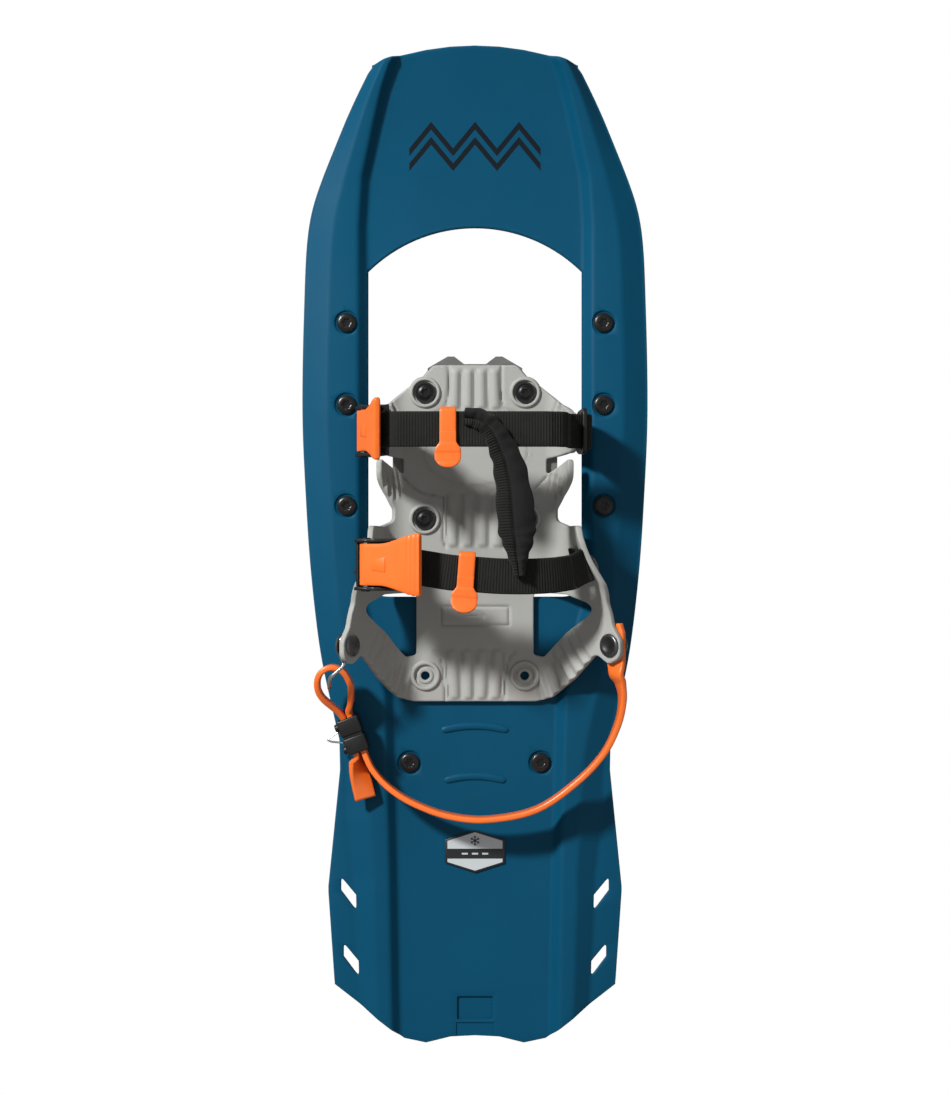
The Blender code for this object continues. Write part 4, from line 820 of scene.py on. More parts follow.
SIDE_WINDOW = ((0.0345, -0.0255, 0.003), (0.0600, -0.0265, 0.006), (0.0870, -0.0330, 0.005),
               (0.0600, -0.0485, 0.008), (0.0410, -0.0635, 0.004), (0.0345, -0.0620, 0.002))
HARNESS_CELL = 0.001105   # pitch of the grid that carries the moulded detail
GRID_X = (-0.1015, 0.1016)
GRID_Y = (-0.0890, 0.1080)
RIB_RISE = 0.0020         # moulded ribs of the bed: height, share of the pitch, valley
RIB_SHARE = 0.74
VALLEY_DROP = 0.0006
RING_RISE = 0.0017
EDGE_ROUND = 0.0009


def step_up(value, low, high):
    """Smooth 0 to 1 between two values, for arrays."""
    t = np.clip((value - low) / (high - low), 0.0, 1.0)
    return t * t * (3.0 - 2.0 * t)


def ridge(distance, half):
    """Height of a rounded ridge at a distance from its centre line, 0 to 1."""
    return np.sqrt(np.clip(1.0 - (distance / half) ** 2, 0.0, 1.0))


def flutes(s, t, low, high, half_low, half_high, count=4):
    """A row of moulded ribs from low to high along t; the row's half width may taper."""
    share = np.clip((t - low) / (high - low), 0.0, 1.0)
    half = half_low + (half_high - half_low) * share
    turn = (s / half + 1.0) * 0.5 * count
    across = (turn - np.floor(turn) - 0.5) * 2.0
    inside = (np.abs(s) < half) & (t > low - 0.002) & (t < high + 0.002)
    ends = step_up(t, low, low + 0.0016) * (1 - step_up(t, high - 0.0016, high + 0.0004))
    return np.where(inside, ends * (RIB_RISE * ridge(across, RIB_SHARE) - VALLEY_DROP), 0.0)


def line_gap(s, t, points):
    """Depth of a groove along a polyline, 0 to 1."""
    best = np.full(s.shape, 1.0)
    for (x0, y0), (x1, y1) in zip(points, points[1:]):
        dx, dy = x1 - x0, y1 - y0
        share = np.clip(((s - x0) * dx + (t - y0) * dy) / (dx * dx + dy * dy), 0.0, 1.0)
        best = np.minimum(best, np.hypot(s - x0 - share * dx, t - y0 - share * dy))
    return 1.0 - step_up(best, GROOVE_HALF * 0.3, GROOVE_HALF * 1.4)


def curve_points(points, steps=6):
    return [p[:2] for p in smooth_path(points, steps)]


# Edges of the raised pads round the screws and rings, right half, toe to heel.
PAD_EDGES = (
    curve_points(((0.0158, 0.1080), (0.0156, 0.0960), (0.0163, 0.0870), (0.0185, 0.0825),
                  (0.0250, 0.0790), (0.0330, 0.0745))),
    curve_points(((0.0430, 0.0430), (0.0350, 0.0352), (0.0270, 0.0320), (0.0200, 0.0305),
                  (0.0186, 0.0285), (0.0186, 0.0150), (0.0184, 0.0060), (0.0170, 0.0010))),
    curve_points(((0.0235, -0.0605), (0.0205, -0.0630), (0.0192, -0.0680), (0.0180, -0.0800),
                  (0.0172, -0.0890))),
)
# Long soft flutes on the wings: (centre s, centre t, direction of the rib, pitch, reach).
WING_FLUTES = (
    (0.0560, 0.0800, (0.45, 0.89), 0.0050, 0.0120),
    (0.0525, 0.0380, (0.20, 0.98), 0.0048, 0.0110),
    (0.0640, -0.0640, (0.62, -0.78), 0.0075, 0.0150),
    (0.0480, -0.0770, (0.40, -0.92), 0.0075, 0.0130),
)
# Plain arrow inside the label's frame on the heel tongue.
ARROW = ((-0.0080, -0.0395), (0.0050, -0.0395))
ARROW_HEAD = ((0.0015, -0.0365), (0.0060, -0.0395), (0.0015, -0.0425))
LABEL = (0.0198, 0.0056, -0.0395)         # half width, half height, place along the harness
# Rows of ribs on the bed: start, end, half width at each.
RIB_ROWS = ((0.0822, 0.1058, 0.0160, 0.0152), (0.0010, 0.0330, 0.0176, 0.0172),
            (-0.0885, -0.0590, 0.0156, 0.0180))
OVAL_RISE = 0.0006
OVAL_GROOVE = 0.0008
PAD_GROOVE = 0.0012
GROOVE_HALF = 0.0007
FLUTE_RISE = 0.0009
LABEL_GROOVE = 0.0010
ARROW_GROOVE = 0.0009


def relief(s, t):
    """Height that the moulded detail adds to the harness's top, for arrays of flat places."""
    a = np.abs(s)
    height = np.zeros_like(s)
    oval = np.hypot(s / SOLE_PAD[0], (t - SOLE_PAD_Y) / SOLE_PAD[1])
    height += OVAL_RISE * (1 - step_up(oval, 0.975, 1.01))
    height -= OVAL_GROOVE * ridge(np.clip((oval - 0.955) / 0.026, -1, 1), 1.0)
    for row in RIB_ROWS:
        height += flutes(s, t, *row)
    for edge in PAD_EDGES:
        height -= PAD_GROOVE * line_gap(a, t, edge)
    for x, y, (ux, uy), pitch, reach in WING_FLUTES:
        along_rib = (a - x) * ux + (t - y) * uy
        across_rib = -(a - x) * uy + (t - y) * ux
        fade = (1 - step_up(np.abs(along_rib), reach * 0.5, reach)) \
            * (1 - step_up(np.abs(across_rib), pitch * 1.4, pitch * 2.1))
        height += FLUTE_RISE * fade * np.cos(2 * pi * across_rib / pitch)
    half_x, half_y, centre = LABEL
    box = np.maximum(a - half_x, np.abs(t - centre) - half_y)
    height -= LABEL_GROOVE * ridge(np.clip(box / GROOVE_HALF, -1, 1), 1.0)
    for line in (ARROW, ARROW_HEAD):
        height -= ARROW_GROOVE * line_gap(s, t, line)
    return height


def cut_grid(mesh, axis, bounds):
    """Cuts a mesh along planes that stand square to an axis, a cell apart."""
    normal = Vector((0, 0, 0))
    normal[axis] = 1.0
    for place in np.arange(*bounds, HARNESS_CELL):
        bmesh.ops.bisect_plane(mesh, geom=mesh.verts[:] + mesh.edges[:] + mesh.faces[:],
                               dist=1e-7, plane_co=normal * place, plane_no=normal)


def harness_top(x, y):
    return HARNESS_T


def harness_piece():
    """The harness is cut out flat, raised where it is moulded, and bent up into its wings."""
    outline = rounded([*HARNESS_OUTLINE, *mirrored(HARNESS_OUTLINE)], 8)
    body = prism(outline, 0.0, HARNESS_T)
    rim = [e for e in body.edges if abs(e.verts[0].co.z - e.verts[1].co.z) < 1e-6]
    bmesh.ops.bevel(body, geom=rim, offset=EDGE_ROUND, segments=3, profile=0.5,
                    affect="EDGES", clamp_overlap=True)
    item = put("harness_moulding", body, GREY)
    cuts = []
    holes = [(place, HOLE_R) for place in HARNESS_SCREWS] + [(HEEL_RING, HEEL_RING_HOLE_R)]
    holes += [(place, RIVET_HOLE_R)
              for place in (TOE_RIVET_FLAT, INSTEP_RIVET_FLAT, HEEL_RIVET_FLAT)]
    for side in (-1, 1):
        window = [(side * x, y) for x, y in rounded(SIDE_WINDOW, 8)]
        cuts.append(flared_cutter(window, harness_top, -0.001, 0.0007))
        for (x, y), radius in holes:
            cuts.append(flared_cutter(circle(side * x, y, radius, 28), harness_top, -0.001,
                                      0.0004))
    combine(item, [merge(cuts)], "DIFFERENCE")
    mesh = bmesh.new()
    mesh.from_mesh(item.data)
    cut_grid(mesh, 0, GRID_X)
    cut_grid(mesh, 1, GRID_Y)
    places = np.array([v.co for v in mesh.verts], float)
    lift = relief(places[:, 0], places[:, 1])
    top = np.clip((places[:, 2] - HARNESS_T + EDGE_ROUND) / EDGE_ROUND, 0.0, 1.0)
    places[:, 2] += lift * top
    for vert, (x, y, z) in zip(mesh.verts, places):
        vert.co = bent(x, y, z)
    settle(mesh).to_mesh(item.data)
    mesh.free()
    smooth(item, 60)
    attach(item, "harness")
    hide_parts("harness")


def ring_pieces():
    """Raised rims round the four screws and the two spare holes at the heel."""
    low = HARNESS_Z + HARNESS_T - 0.0004
    top = HARNESS_Z + HARNESS_T + RING_RISE
    screw_rim = [(0.0069, low), (0.0095, low), (0.0092, low + 0.0010), (0.0087, top - 0.0002),
                 (0.0083, top), (0.0076, top), (0.0072, top - 0.0002), (0.0070, top - 0.0008)]
    heel_rim = [(0.0062, low), (0.0092, low), (0.0089, low + 0.0010), (0.0084, top - 0.0002),
                (0.0080, top), (0.0070, top), (0.0066, top - 0.0002), (0.0063, top - 0.0009)]
    hole_rim = [(HEEL_RING_HOLE_R, low), (0.0050, low), (0.0048, low + 0.0007),
                (0.0042, low + 0.0011), (0.0032, low + 0.0011), (HEEL_RING_HOLE_R, low + 0.0008)]
    rims = []
    for side in (-1, 1):
        for (x, y), profile, count in ((HARNESS_SCREWS[0], screw_rim, 64),
                                       (HARNESS_SCREWS[1], screw_rim, 64),
                                       (HEEL_RING, heel_rim, 64), (HEEL_RING, hole_rim, 48)):
            rims.append(turned(profile, Matrix.Translation((side * x, y, 0)), count))
    item = put("harness_rims", merge(rims), GREY, "harness", (), 50)


harness_piece()
ring_pieces()


# ---- webbing -------------------------------------------------------------------------
RIB_PITCH = 0.0016
RIB_HEIGHT = 0.00030
# Rounded edge of a strap, in shares of its half width and half thickness.
EDGE_POINTS = ((1.0, 0.0), (0.985, 0.62), (0.93, 0.98))


def swept(stations, section, step, ribs=0.0, ribbed_to=1.1):
    """Mesh of a section swept along (point, across, half width, half thickness) rows.

    The section holds (share across, share up) points, with ribs up to one share across;
    a map named weave holds metres."""
    flat = [[*point, *across, half_w, half_t] for point, across, half_w, half_t in stations]
    rows = even_path(flat, step)
    made = bmesh.new()
    weave = made.loops.layers.uv.new("weave")
    loops = []
    flat_place = {}
    gone = 0.0
    for k, row in enumerate(rows):
        point = Vector(row[:3])
        behind, ahead = around(rows, k)
        forward = (Vector(ahead[:3]) - Vector(behind[:3])).normalized()
        side = Vector(row[3:6])
        side = (side - forward * side.dot(forward)).normalized()
        up = forward.cross(side)
        if k:
            gone += (point - Vector(rows[k - 1][:3])).length
        lift = ribs * cos(2 * pi * gone / RIB_PITCH)
        half_w, half_t = row[6], row[7]
        loop = []
        for a, b in section:
            push = lift * (1.0 if abs(a) < 0.96 else 0.4) * (1 if b > 0 else -1 if b < 0 else 0)
            if a > ribbed_to:
                push = 0.0
            vert = made.verts.new(point + side * a * half_w + up * (b * half_t + push))
            flat_place[vert] = (gone, a * half_w)
            loop.append(vert)
        loops.append(loop)
    join_loops(made, loops)
    made.faces.new(loops[0])
    made.faces.new(loops[-1])
    for face in made.faces:
        for corner in face.loops:
            corner[weave].uv = flat_place[corner.vert]
    return settle(made)


def both_faces(top):
    """Closed section of the upper outline of a band, left to right, and its mirror image."""
    return top + [(a, -b) for a, b in reversed(top[1:-1])]


def strap_section(across=7):
    """Flat band with rounded edges."""
    inner = [(-0.86 + 1.72 * k / (across - 1), 1.0) for k in range(across)]
    return both_faces([(-a, b) for a, b in EDGE_POINTS] + inner + list(reversed(EDGE_POINTS)))


def strap_stations(points):
    return [(point, (0, 1, 0), STRAP_W / 2, STRAP_T / 2) for point in smooth_path(points, 8)]


TOE_BUCKLE_RISE = 67      # lean of the buckles' bases, in degrees
INSTEP_BUCKLE_RISE = 30


def buckle_frames():
    """Frames of the two buckles' bases: along the strap, across it, and up."""
    out = []
    for flat, top, rise in ((TOE_RIVET_FLAT, TOE_WING_TOP, TOE_BUCKLE_RISE),
                            (INSTEP_RIVET_FLAT, INSTEP_WING_TOP, INSTEP_BUCKLE_RISE)):
        foot = wing_frame(-top, flat[1]) @ Vector((0.0016, 0, WING_GAP))
        turn = radians(rise)
        out.append(frame_at(foot, (cos(turn), 0, sin(turn)), (0, 1, 0),
                            (-sin(turn), 0, cos(turn))))
    return out


TOE_BASE, INSTEP_BASE = buckle_frames()


def strap_in_buckle(place, y):
    above = BUCKLE_WALL + GAP + STRAP_T / 2
    points = [place @ Vector((u, 0, above)) for u in (0.0045, 0.014, 0.0235, BUCKLE_L + 0.0008)]
    return [(p.x, y, p.z) for p in points]


ANCHOR_T = 0.0025
ANCHOR_HALF = 0.0135
ANCHOR_WINDOW = 0.0185    # place of the strap's window, up the wing from the rivet
ANCHOR_WINDOW_HALF = 0.0023
ANCHOR_TOP = 0.0235


def toe_strap_piece():
    """Strap from the buckle over the toes, down through the anchor plate's window."""
    y = TOE_STRAP_Y
    window = wing_frame(*TOE_RIVET_FLAT) @ Vector((ANCHOR_WINDOW, 0, WING_GAP + ANCHOR_T / 2))
    x, z = window.x, window.z
    top = TOE_STRAP_Z
    points = strap_in_buckle(TOE_BASE, y)
    x_end, z_end = points[-1][0], points[-1][2]
    points += [(x_end + 0.0014, y, z_end + 0.0028), (x_end + 0.0060, y, top - 0.0004),
               (x_end + 0.0140, y, top + 0.0001), (-0.0240, y, top),
               (0.0, y, top), (0.0360, y, top), (0.0440, y, top - 0.0012),
               (0.0510, y, top - 0.0055), (x - 0.0085, y, z + 0.0065), (x - 0.0030, y, z + 0.0010),
               (x, y, z), (x + 0.0030, y, z - 0.0020), (x + 0.0040, y, z - 0.0065),
               (x + 0.0032, y, z - 0.0140)]
    made = swept(strap_stations(points), strap_section(), RIB_PITCH / 4, RIB_HEIGHT)
    put("toe_webbing", made, WEBBING, "harness", ("toe_strap",), 0)


INSTEP_END = (0.0985, 0.0775)     # flat places between which the strap lies on its wing


def instep_strap_piece():
    """Strap from the buckle over the instep, and down the inside of the right wing."""
    top = INSTEP_STRAP_Z
    points = strap_in_buckle(INSTEP_BASE, -0.0090)
    points += [(-0.0290, -0.0105, top - 0.0004), (-0.0170, -0.0125, top),
               (-0.0080, -0.0135, top), (0.0020, -0.0142, top),
               (0.0140, -0.0150, top - 0.0005), (0.0290, -0.0152, top - 0.0025),
               (0.0440, -0.0145, top - 0.0075), (0.0550, -0.0130, top - 0.0150)]
    stations = strap_stations(points)
    t = INSTEP_RIVET_FLAT[1]
    above = HARNESS_T + WING_GAP + STRAP_T / 2
    for place_s in np.linspace(*INSTEP_END, 12):
        across = bent(place_s, t + 0.008, above) - bent(place_s, t - 0.008, above)
        stations.append((bent(place_s, t, above), across, STRAP_W / 2, STRAP_T / 2))
    put("instep_webbing", swept(stations, strap_section(), RIB_PITCH / 4, RIB_HEIGHT), WEBBING,
        "harness", ("instep_strap",), 0)


# Centre line of the link strap: (x, y, height over the toe strap, half width).
LINK_LINE = (
    (-0.0060, 0.0745, 0.0012, 0.0045), (0.0000, 0.0738, 0.0016, 0.0056),
    (0.0060, 0.0712, 0.0020, 0.0060), (0.0105, 0.0662, 0.0022, 0.0064),
    (0.0145, 0.0585, 0.0026, 0.0076), (0.0185, 0.0485, 0.0036, 0.0088),
    (0.0215, 0.0330, 0.0056, 0.0100), (0.0231, 0.0134, 0.0082, 0.0106),
    (0.0238, 0.0050, 0.0090, 0.0090), (0.0240, -0.0030, 0.0092, 0.0062),
    (0.0245, -0.0090, 0.0098, 0.0040), (0.0250, -0.0149, 0.0100, 0.0030),
)
PADDED_FACES = (7, 20)    # faces of one row of the section that are pad cloth


def link_section():
    """Folded band: a flat ribbed left half, a stitched valley, and a puffed right half."""
    left = [(-1.0, 0.0), (-0.99, 0.55), (-0.94, 0.92), (-0.80, 1.0), (-0.60, 0.98), (-0.40, 0.95),
            (-0.26, 0.80), (-0.18, 0.10)]
    puff = [(-0.18 + 1.18 * k / 10, 0.10 + 1.75 * sin(pi * min(k / 10 * 1.04, 1.0)) ** 0.7)
            for k in range(1, 10)]
    top = left + puff + [(0.985, 0.35), (1.0, 0.0)]
    return top + [(a, -0.9) for a in (0.90, 0.45, 0.0, -0.45, -0.90)]


def link_strap_piece():
    stations = []
    path = smooth_path([(x, y, TOE_STRAP_Z + STRAP_T / 2 + z, half)
                        for x, y, z, half in LINK_LINE], 10)
    for k, (x, y, z, half) in enumerate(path):
        behind, ahead = around(path, k)
        across = Vector((ahead[1] - behind[1], behind[0] - ahead[0], 0)).normalized()
        swell = 1.0 + 0.12 * sin(k * 0.41) + 0.08 * sin(k * 0.93 + 1.0)
        stations.append(((x, y, z), -across, half * (1.0 + 0.05 * sin(k * 0.62)),
                         0.0018 * swell))
    made = swept(stations, link_section(), RIB_PITCH / 5, RIB_HEIGHT * 1.3, -0.2)
    item = put("link_webbing", made, WEBBING, "harness", ("link_strap",), 0)
    item.data.materials.append(PAD_CLOTH)
    count = len(link_section())
    first, last = PADDED_FACES
    for k, polygon in enumerate(item.data.polygons):
        if polygon.loop_total == 4 and first <= k % count <= last:
            polygon.material_index = 1


toe_strap_piece()
instep_strap_piece()
link_strap_piece()


# ---- moulded plastic -----------------------------------------------------------------
def bar_section(corner=0.35, steps=4):
    """Rounded rectangle as shares of half width and half thickness."""
    out = []
    for cx, cy, start in ((1, 1, 0), (-1, 1, 90), (-1, -1, 180), (1, -1, 270)):
        for k in range(steps + 1):
            angle = radians(start + 90 * k / steps)
            out.append((cx * (1 - corner * 0.45) + corner * 0.45 * cos(angle),
                        cy * (1 - corner) + corner * sin(angle)))
    return out


def at_row(table, u):
    """Half width, low and high of a bar at a place along it."""
    return [float(np.interp(u, table[:, 0], table[:, k])) for k in (1, 2, 3)]


def shaped_bar(place, rows, corner=0.5, step=0.0004, end_round=0.0009):
    """Bar along u of rows (u, half width, low w, high w) in a place's frame, ends rounded."""
    u0, u1 = rows[0][0], rows[-1][0]
    table = np.array(rows, float)
    stations = []
    for u in np.arange(u0, u1 + step / 2, step):
        half, low, high = at_row(table, u)
        near = min(u - u0, u1 - u)
        shrink = sqrt(max(1 - (1 - min(near / end_round, 1.0)) ** 2, 0.02))
        middle = (low + high) / 2
        half_t = (high - low) / 2 * (0.35 + 0.65 * shrink)
        point = place @ Vector((u, 0, middle))
        stations.append((point, place.col[1].xyz, half - 0.0006 * (1 - shrink), half_t))
    return swept(stations, bar_section(corner), step)


LEVER_FLARE = 0.0172      # half width of a lever's thumb end
LEVER_NARROW_TO = 0.010   # where a lever's blade starts to flare, from the pin
LEVER_LOW = 0.0004
LEVER_HIGH = 0.0036
# Ridges across a lever's thumb end: distance from the end, half width, height.
LEVER_RIDGES = ((0.0011, 0.0011, 0.0008), (0.0047, 0.0010, 0.0004), (0.0078, 0.0009, 0.0003))
TOE_LEVER_REACH = 0.040
INSTEP_LEVER_REACH = 0.046


def lever_rows(inside, end):
    """Rows of a lever's blade, flared along a smooth curve and ridged at its end."""
    low, high = LEVER_LOW, LEVER_HIGH
    rows = [(-0.0005, inside, low, high), (LEVER_NARROW_TO, inside, low, high)]
    for share in np.linspace(0.0, 1.0, 13):
        rows.append((LEVER_NARROW_TO + (end - LEVER_NARROW_TO) * share,
                     inside + (LEVER_FLARE - inside) * ease(share * 1.05),
                     low + 0.0006 * share ** 2, high + 0.0007 * share ** 2))
    finer = []
    table = np.array(rows)
    for u in np.arange(rows[0][0], end, 0.0003):
        half, low, high = at_row(table, u)
        for from_end, ridge_half, gain in LEVER_RIDGES:
            off = abs(u - (end - from_end)) / ridge_half
            if off < 1:
                high += gain * sqrt(1 - off * off)
                half += 0.0003 * (1 - off)
        finer.append((u, half, low, high))
    return [*finer, (end, *finer[-1][1:])]


def lever_piece(name, base, reach, body, replaced):
    """Buckle lever: a barrel on the pin and a blade that flares to a ridged thumb end."""
    centre = base @ Vector((PIN_AT[0], 0, PIN_AT[1]))
    place = base.copy()
    place.col[3] = (*centre, 1.0)
    end = reach - PIN_AT[0] + PLAY
    inside = BUCKLE_HALF - BUCKLE_WALL - PLAY
    finer = lever_rows(inside, end)
    blade = shaped_bar(place, finer, 0.45, 0.0003, 0.0012)
    barrel_place = Matrix.Translation(centre) @ Matrix.Rotation(pi / 2, 4, "X")
    ring = [(0.0016, -inside), (0.0030, -inside), (0.0035, -inside + 0.0005),
            (0.0035, inside - 0.0005), (0.0030, inside), (0.0016, inside)]
    barrel = turned(ring, barrel_place, 40)
    rib = bevelled(prism([(0.0060, -0.0030), (0.0150, -0.0042), (0.0150, 0.0042),
                          (0.0060, 0.0030)], 0.0034, 0.0041, place), 0.0003, 2)
    item = put(name, merge([blade, barrel, rib]), ORANGE, body, (replaced,), 40)


# Rounded upper edge of a buckle's cheek: places along the base and heights over it.
CHEEK_SPINE = ((0.0012, 0.0058), (0.0040, 0.0092), (0.0090, 0.0104), (0.0150, 0.0092),
               (0.0220, 0.0062), (0.0262, 0.0034))


def buckle_frame_piece(name, base, rivet_flat, replaced):
    """Buckle frame: a floor, two cheeks that hold the pin, a bar at the foot, a riveted tab."""
    half = BUCKLE_HALF
    across = base @ frame_at((0, 0, 0), (1, 0, 0), (0, 0, 1), (0, -1, 0))
    base_top = BUCKLE_WALL - TINY
    pieces = [bevelled(prism([(0.0, 0.0), (BUCKLE_L, 0.0), (BUCKLE_L, base_top), (0.0, base_top)],
                             -half, half, across), 0.0005, 2)]
    cheek = rounded([(0.0005, 0.0006, 0.0005), (0.0268, 0.0006, 0.0005), (0.0250, 0.0055, 0.003),
                     (PIN_AT[0] + 0.0065, 0.0112, 0.0045), (PIN_AT[0] - 0.0065, 0.0112, 0.0045),
                     (0.0005, 0.0060, 0.002)], 6)
    for side in (-1, 1):
        low, high = sorted((side * half, side * (half - BUCKLE_WALL + TINY)))
        pieces.append(bevelled(prism(cheek, low, high, across), 0.0005, 2))
        boss = Matrix.Translation(base @ Vector((PIN_AT[0], side * half, PIN_AT[1]))) \
            @ Matrix.Rotation(side * pi / 2, 4, "X")
        pieces.append(turned([(0.0, -0.0006), (0.0026, -0.0006), (0.0026, 0.0003),
                              (0.0020, 0.0006), (0.0, 0.0006)], boss, 28))
        spine = [base @ Vector((u, side * (half - 0.0010), w)) for u, w in CHEEK_SPINE]
        pieces.append(tube(spine, 0.0011, 8, 4))
    heel_bar = [base @ Vector((0.0014, y, 0.0046)) for y in (-half, 0.0, half)]
    pieces.append(tube(heel_bar, 0.0012, 12, 3))
    wing = wing_frame(-rivet_flat[0], rivet_flat[1])
    foot = base.translation
    reach = (foot - wing.translation).dot(wing.col[0].xyz) + 0.003
    tab = rounded([(-0.0060, -0.0055, 0.0035), (reach, -0.0055, 0.0005), (reach, 0.0055, 0.0005),
                   (-0.0060, 0.0055, 0.0035)], 6)
    pieces.append(bevelled(prism(tab, WING_GAP, WING_GAP + BUCKLE_WALL, wing), 0.0004, 2))
    put(name, merge(pieces), BLACK, "harness", (replaced,), 40)


SLEEVE_WALL = 0.0018      # strap keepers: the band round the strap, and the thumb paddle
SLEEVE_HALF = 0.0047
SLEEVE_CORNER = 0.0022
PADDLE_REACH = 0.0110
PADDLE_WIDER = 0.0027
PADDLE_ROUND = 0.0074
PADDLE_STEP = 0.0005
PADDLE_DISH = 0.0004


def paddle_rows(half_w, half_t, curl):
    """Rows of a keeper's paddle, from over the strap to its rounded tip past the heel edge."""
    tip = half_w + PADDLE_REACH
    rows = []
    for k in range(61):
        v = -(half_w - 0.012) + (tip + half_w - 0.012) * k / 60
        half = SLEEVE_HALF + PADDLE_WIDER * ease((v - half_w + 0.0040) / 0.0050)
        left = tip - v
        if left < PADDLE_ROUND:
            chord = sqrt(max(PADDLE_ROUND ** 2 - (PADDLE_ROUND - left) ** 2, 1e-7))
            half = min(half, chord + 0.0004)
        rise = curl * (max(v - half_w + 0.001, 0.0) / 0.012) ** 2
        step = PADDLE_STEP * ease((v - half_w + 0.0032) / 0.0012)
        dish = PADDLE_DISH * ease((v - half_w - 0.0010) / 0.002) * ease((left - 0.0022) / 0.0010)
        rows.append((v, half, half_t + SLEEVE_WALL * 0.25 + rise,
                     half_t + SLEEVE_WALL + 0.0002 + rise + step - dish))
    return rows


def keeper_piece(name, centre, turn, curl, body, replaced):
    """Strap keeper: a band round the strap with a rounded thumb paddle on its heel side."""
    place = Matrix.Translation(centre) @ Matrix.Rotation(turn, 4, "Z")
    half_w = STRAP_W / 2 + PLAY
    half_t = STRAP_T / 2 + PLAY
    loop = centred_box(half_w + SLEEVE_WALL / 2, half_t + SLEEVE_WALL / 2, 0.0, SLEEVE_CORNER, 6)
    band = bmesh.new()
    section = [(a * SLEEVE_HALF, b * SLEEVE_WALL / 2) for a, b in bar_section(0.7, 3)]
    rows = []
    count = len(loop)
    for k, (ly, lz) in enumerate(loop):
        before, after = Vector(loop[k - 1]), Vector(loop[(k + 1) % count])
        run = (after - before).normalized()
        out = Vector((run.y, -run.x))
        rows.append([band.verts.new(place @ Vector((a, ly + out.x * b, lz + out.y * b)))
                     for a, b in section])
    join_loops(band, [*rows, rows[0]])
    frame_v = place @ frame_at((0, 0, 0), (0, -1, 0), (1, 0, 0), (0, 0, 1))
    paddle = shaped_bar(frame_v, paddle_rows(half_w, half_t, curl), 0.55, 0.0003, 0.0007)
    item = put(name, merge([settle(band), paddle]), ORANGE, body, (replaced,), 40)


def anchor_piece():
    """Black plate on the right toe wing; the toe strap comes down through its window."""
    place = wing_frame(*TOE_RIVET_FLAT)
    half = ANCHOR_HALF
    outline = rounded([(-0.0080, -half + 0.004, 0.004), (0.004, -half + 0.001, 0.006),
                       (ANCHOR_TOP, -half, 0.004), (ANCHOR_TOP, half, 0.004),
                       (0.004, half - 0.001, 0.006), (-0.0080, half - 0.004, 0.004)], 6)
    item = put("toe_anchor_plate", bevelled(prism(outline, WING_GAP, WING_GAP + ANCHOR_T, place),
                                            0.0006, 3), BLACK)
    side = STRAP_W / 2 + PLAY
    low, high = ANCHOR_WINDOW - ANCHOR_WINDOW_HALF, ANCHOR_WINDOW + ANCHOR_WINDOW_HALF
    window = rounded([(low, -side, 0.0008), (high, -side, 0.0008), (high, side, 0.0008),
                      (low, side, 0.0008)], 3)
    hole = [(0.0, -0.01), (HOLE_R, -0.01), (HOLE_R, 0.01), (0.0, 0.01)]
    combine(item, [prism(window, -0.004, 0.008, place), turned(hole, place, 24)], "DIFFERENCE")
    smooth(item, 35)
    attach(item, "harness")
    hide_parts("toe_strap_anchor")


lever_piece("toe_lever", TOE_BASE, TOE_LEVER_REACH, "toe_lever", "toe_buckle_lever")
lever_piece("instep_lever", INSTEP_BASE, INSTEP_LEVER_REACH, "instep_lever",
            "instep_buckle_lever")
buckle_frame_piece("toe_buckle_body", TOE_BASE, TOE_RIVET_FLAT, "toe_buckle_frame")
buckle_frame_piece("instep_buckle_body", INSTEP_BASE, INSTEP_RIVET_FLAT, "instep_buckle_frame")
keeper_piece("toe_strap_keeper", (-0.0152, TOE_STRAP_Y, TOE_STRAP_Z), 0.0, 0.0003, "toe_keeper",
             "toe_keeper")
keeper_piece("instep_strap_keeper", (-0.0050, -0.0137, INSTEP_STRAP_Z), radians(-4), 0.0022,
             "instep_keeper", "instep_keeper")
anchor_piece()


# ---- screws and rivets ---------------------------------------------------------------
SHANK_R = 0.002
HEAD_R = 0.0058
HEAD_H = 0.0022
SOCKET_R = 0.0024
NUT_H = 0.0032
STEEL_T = 0.0025
RIVET_R = 0.002


def lobed(radius, count, depth):
    """Function that gives the vertices within a radius a lobed outline."""
    def shape(vert):
        reach = sqrt(vert.co.x ** 2 + vert.co.y ** 2)
        if 0.0 < reach <= radius:
            size = 1.0 + depth * cos(count * atan2(vert.co.y, vert.co.x))
            vert.co.x *= size
            vert.co.y *= size
    return shape


def screw_profile(end, low, radius, height):
    top = low + height
    return [(0.0, end), (SHANK_R, end), (SHANK_R, low), (radius * 0.96, low),
            (radius, low + 0.0003), (radius, low + height * 0.45),
            (radius * 0.94, low + height * 0.72), (radius * 0.80, low + height * 0.90),
            (radius * 0.62, top), (SOCKET_R + 0.0004, top), (SOCKET_R, top - 0.0002),
            (SOCKET_R, top - 0.0013), (0.0, top - 0.0015)]


def deck_screw(node_name, x, y, top):
    """Screw in a seat below a flat top, through the deck and a steel part to its nut."""
    seat = top - SEAT_DEPTH
    grip = DECK_WALL + 2 * GAP + STEEL_T - SEAT_DEPTH
    profile = screw_profile(seat - grip - NUT_H - 0.001, seat + GAP, HEAD_R, HEAD_H)
    place = Matrix.Translation((x, y, 0))
    made = turned(profile, place, 48, lobed(SOCKET_R + 0.0005, 6, 0.10))
    item = put(node_name + "_looks", made, SCREW, "frame", (node_name,), 50)


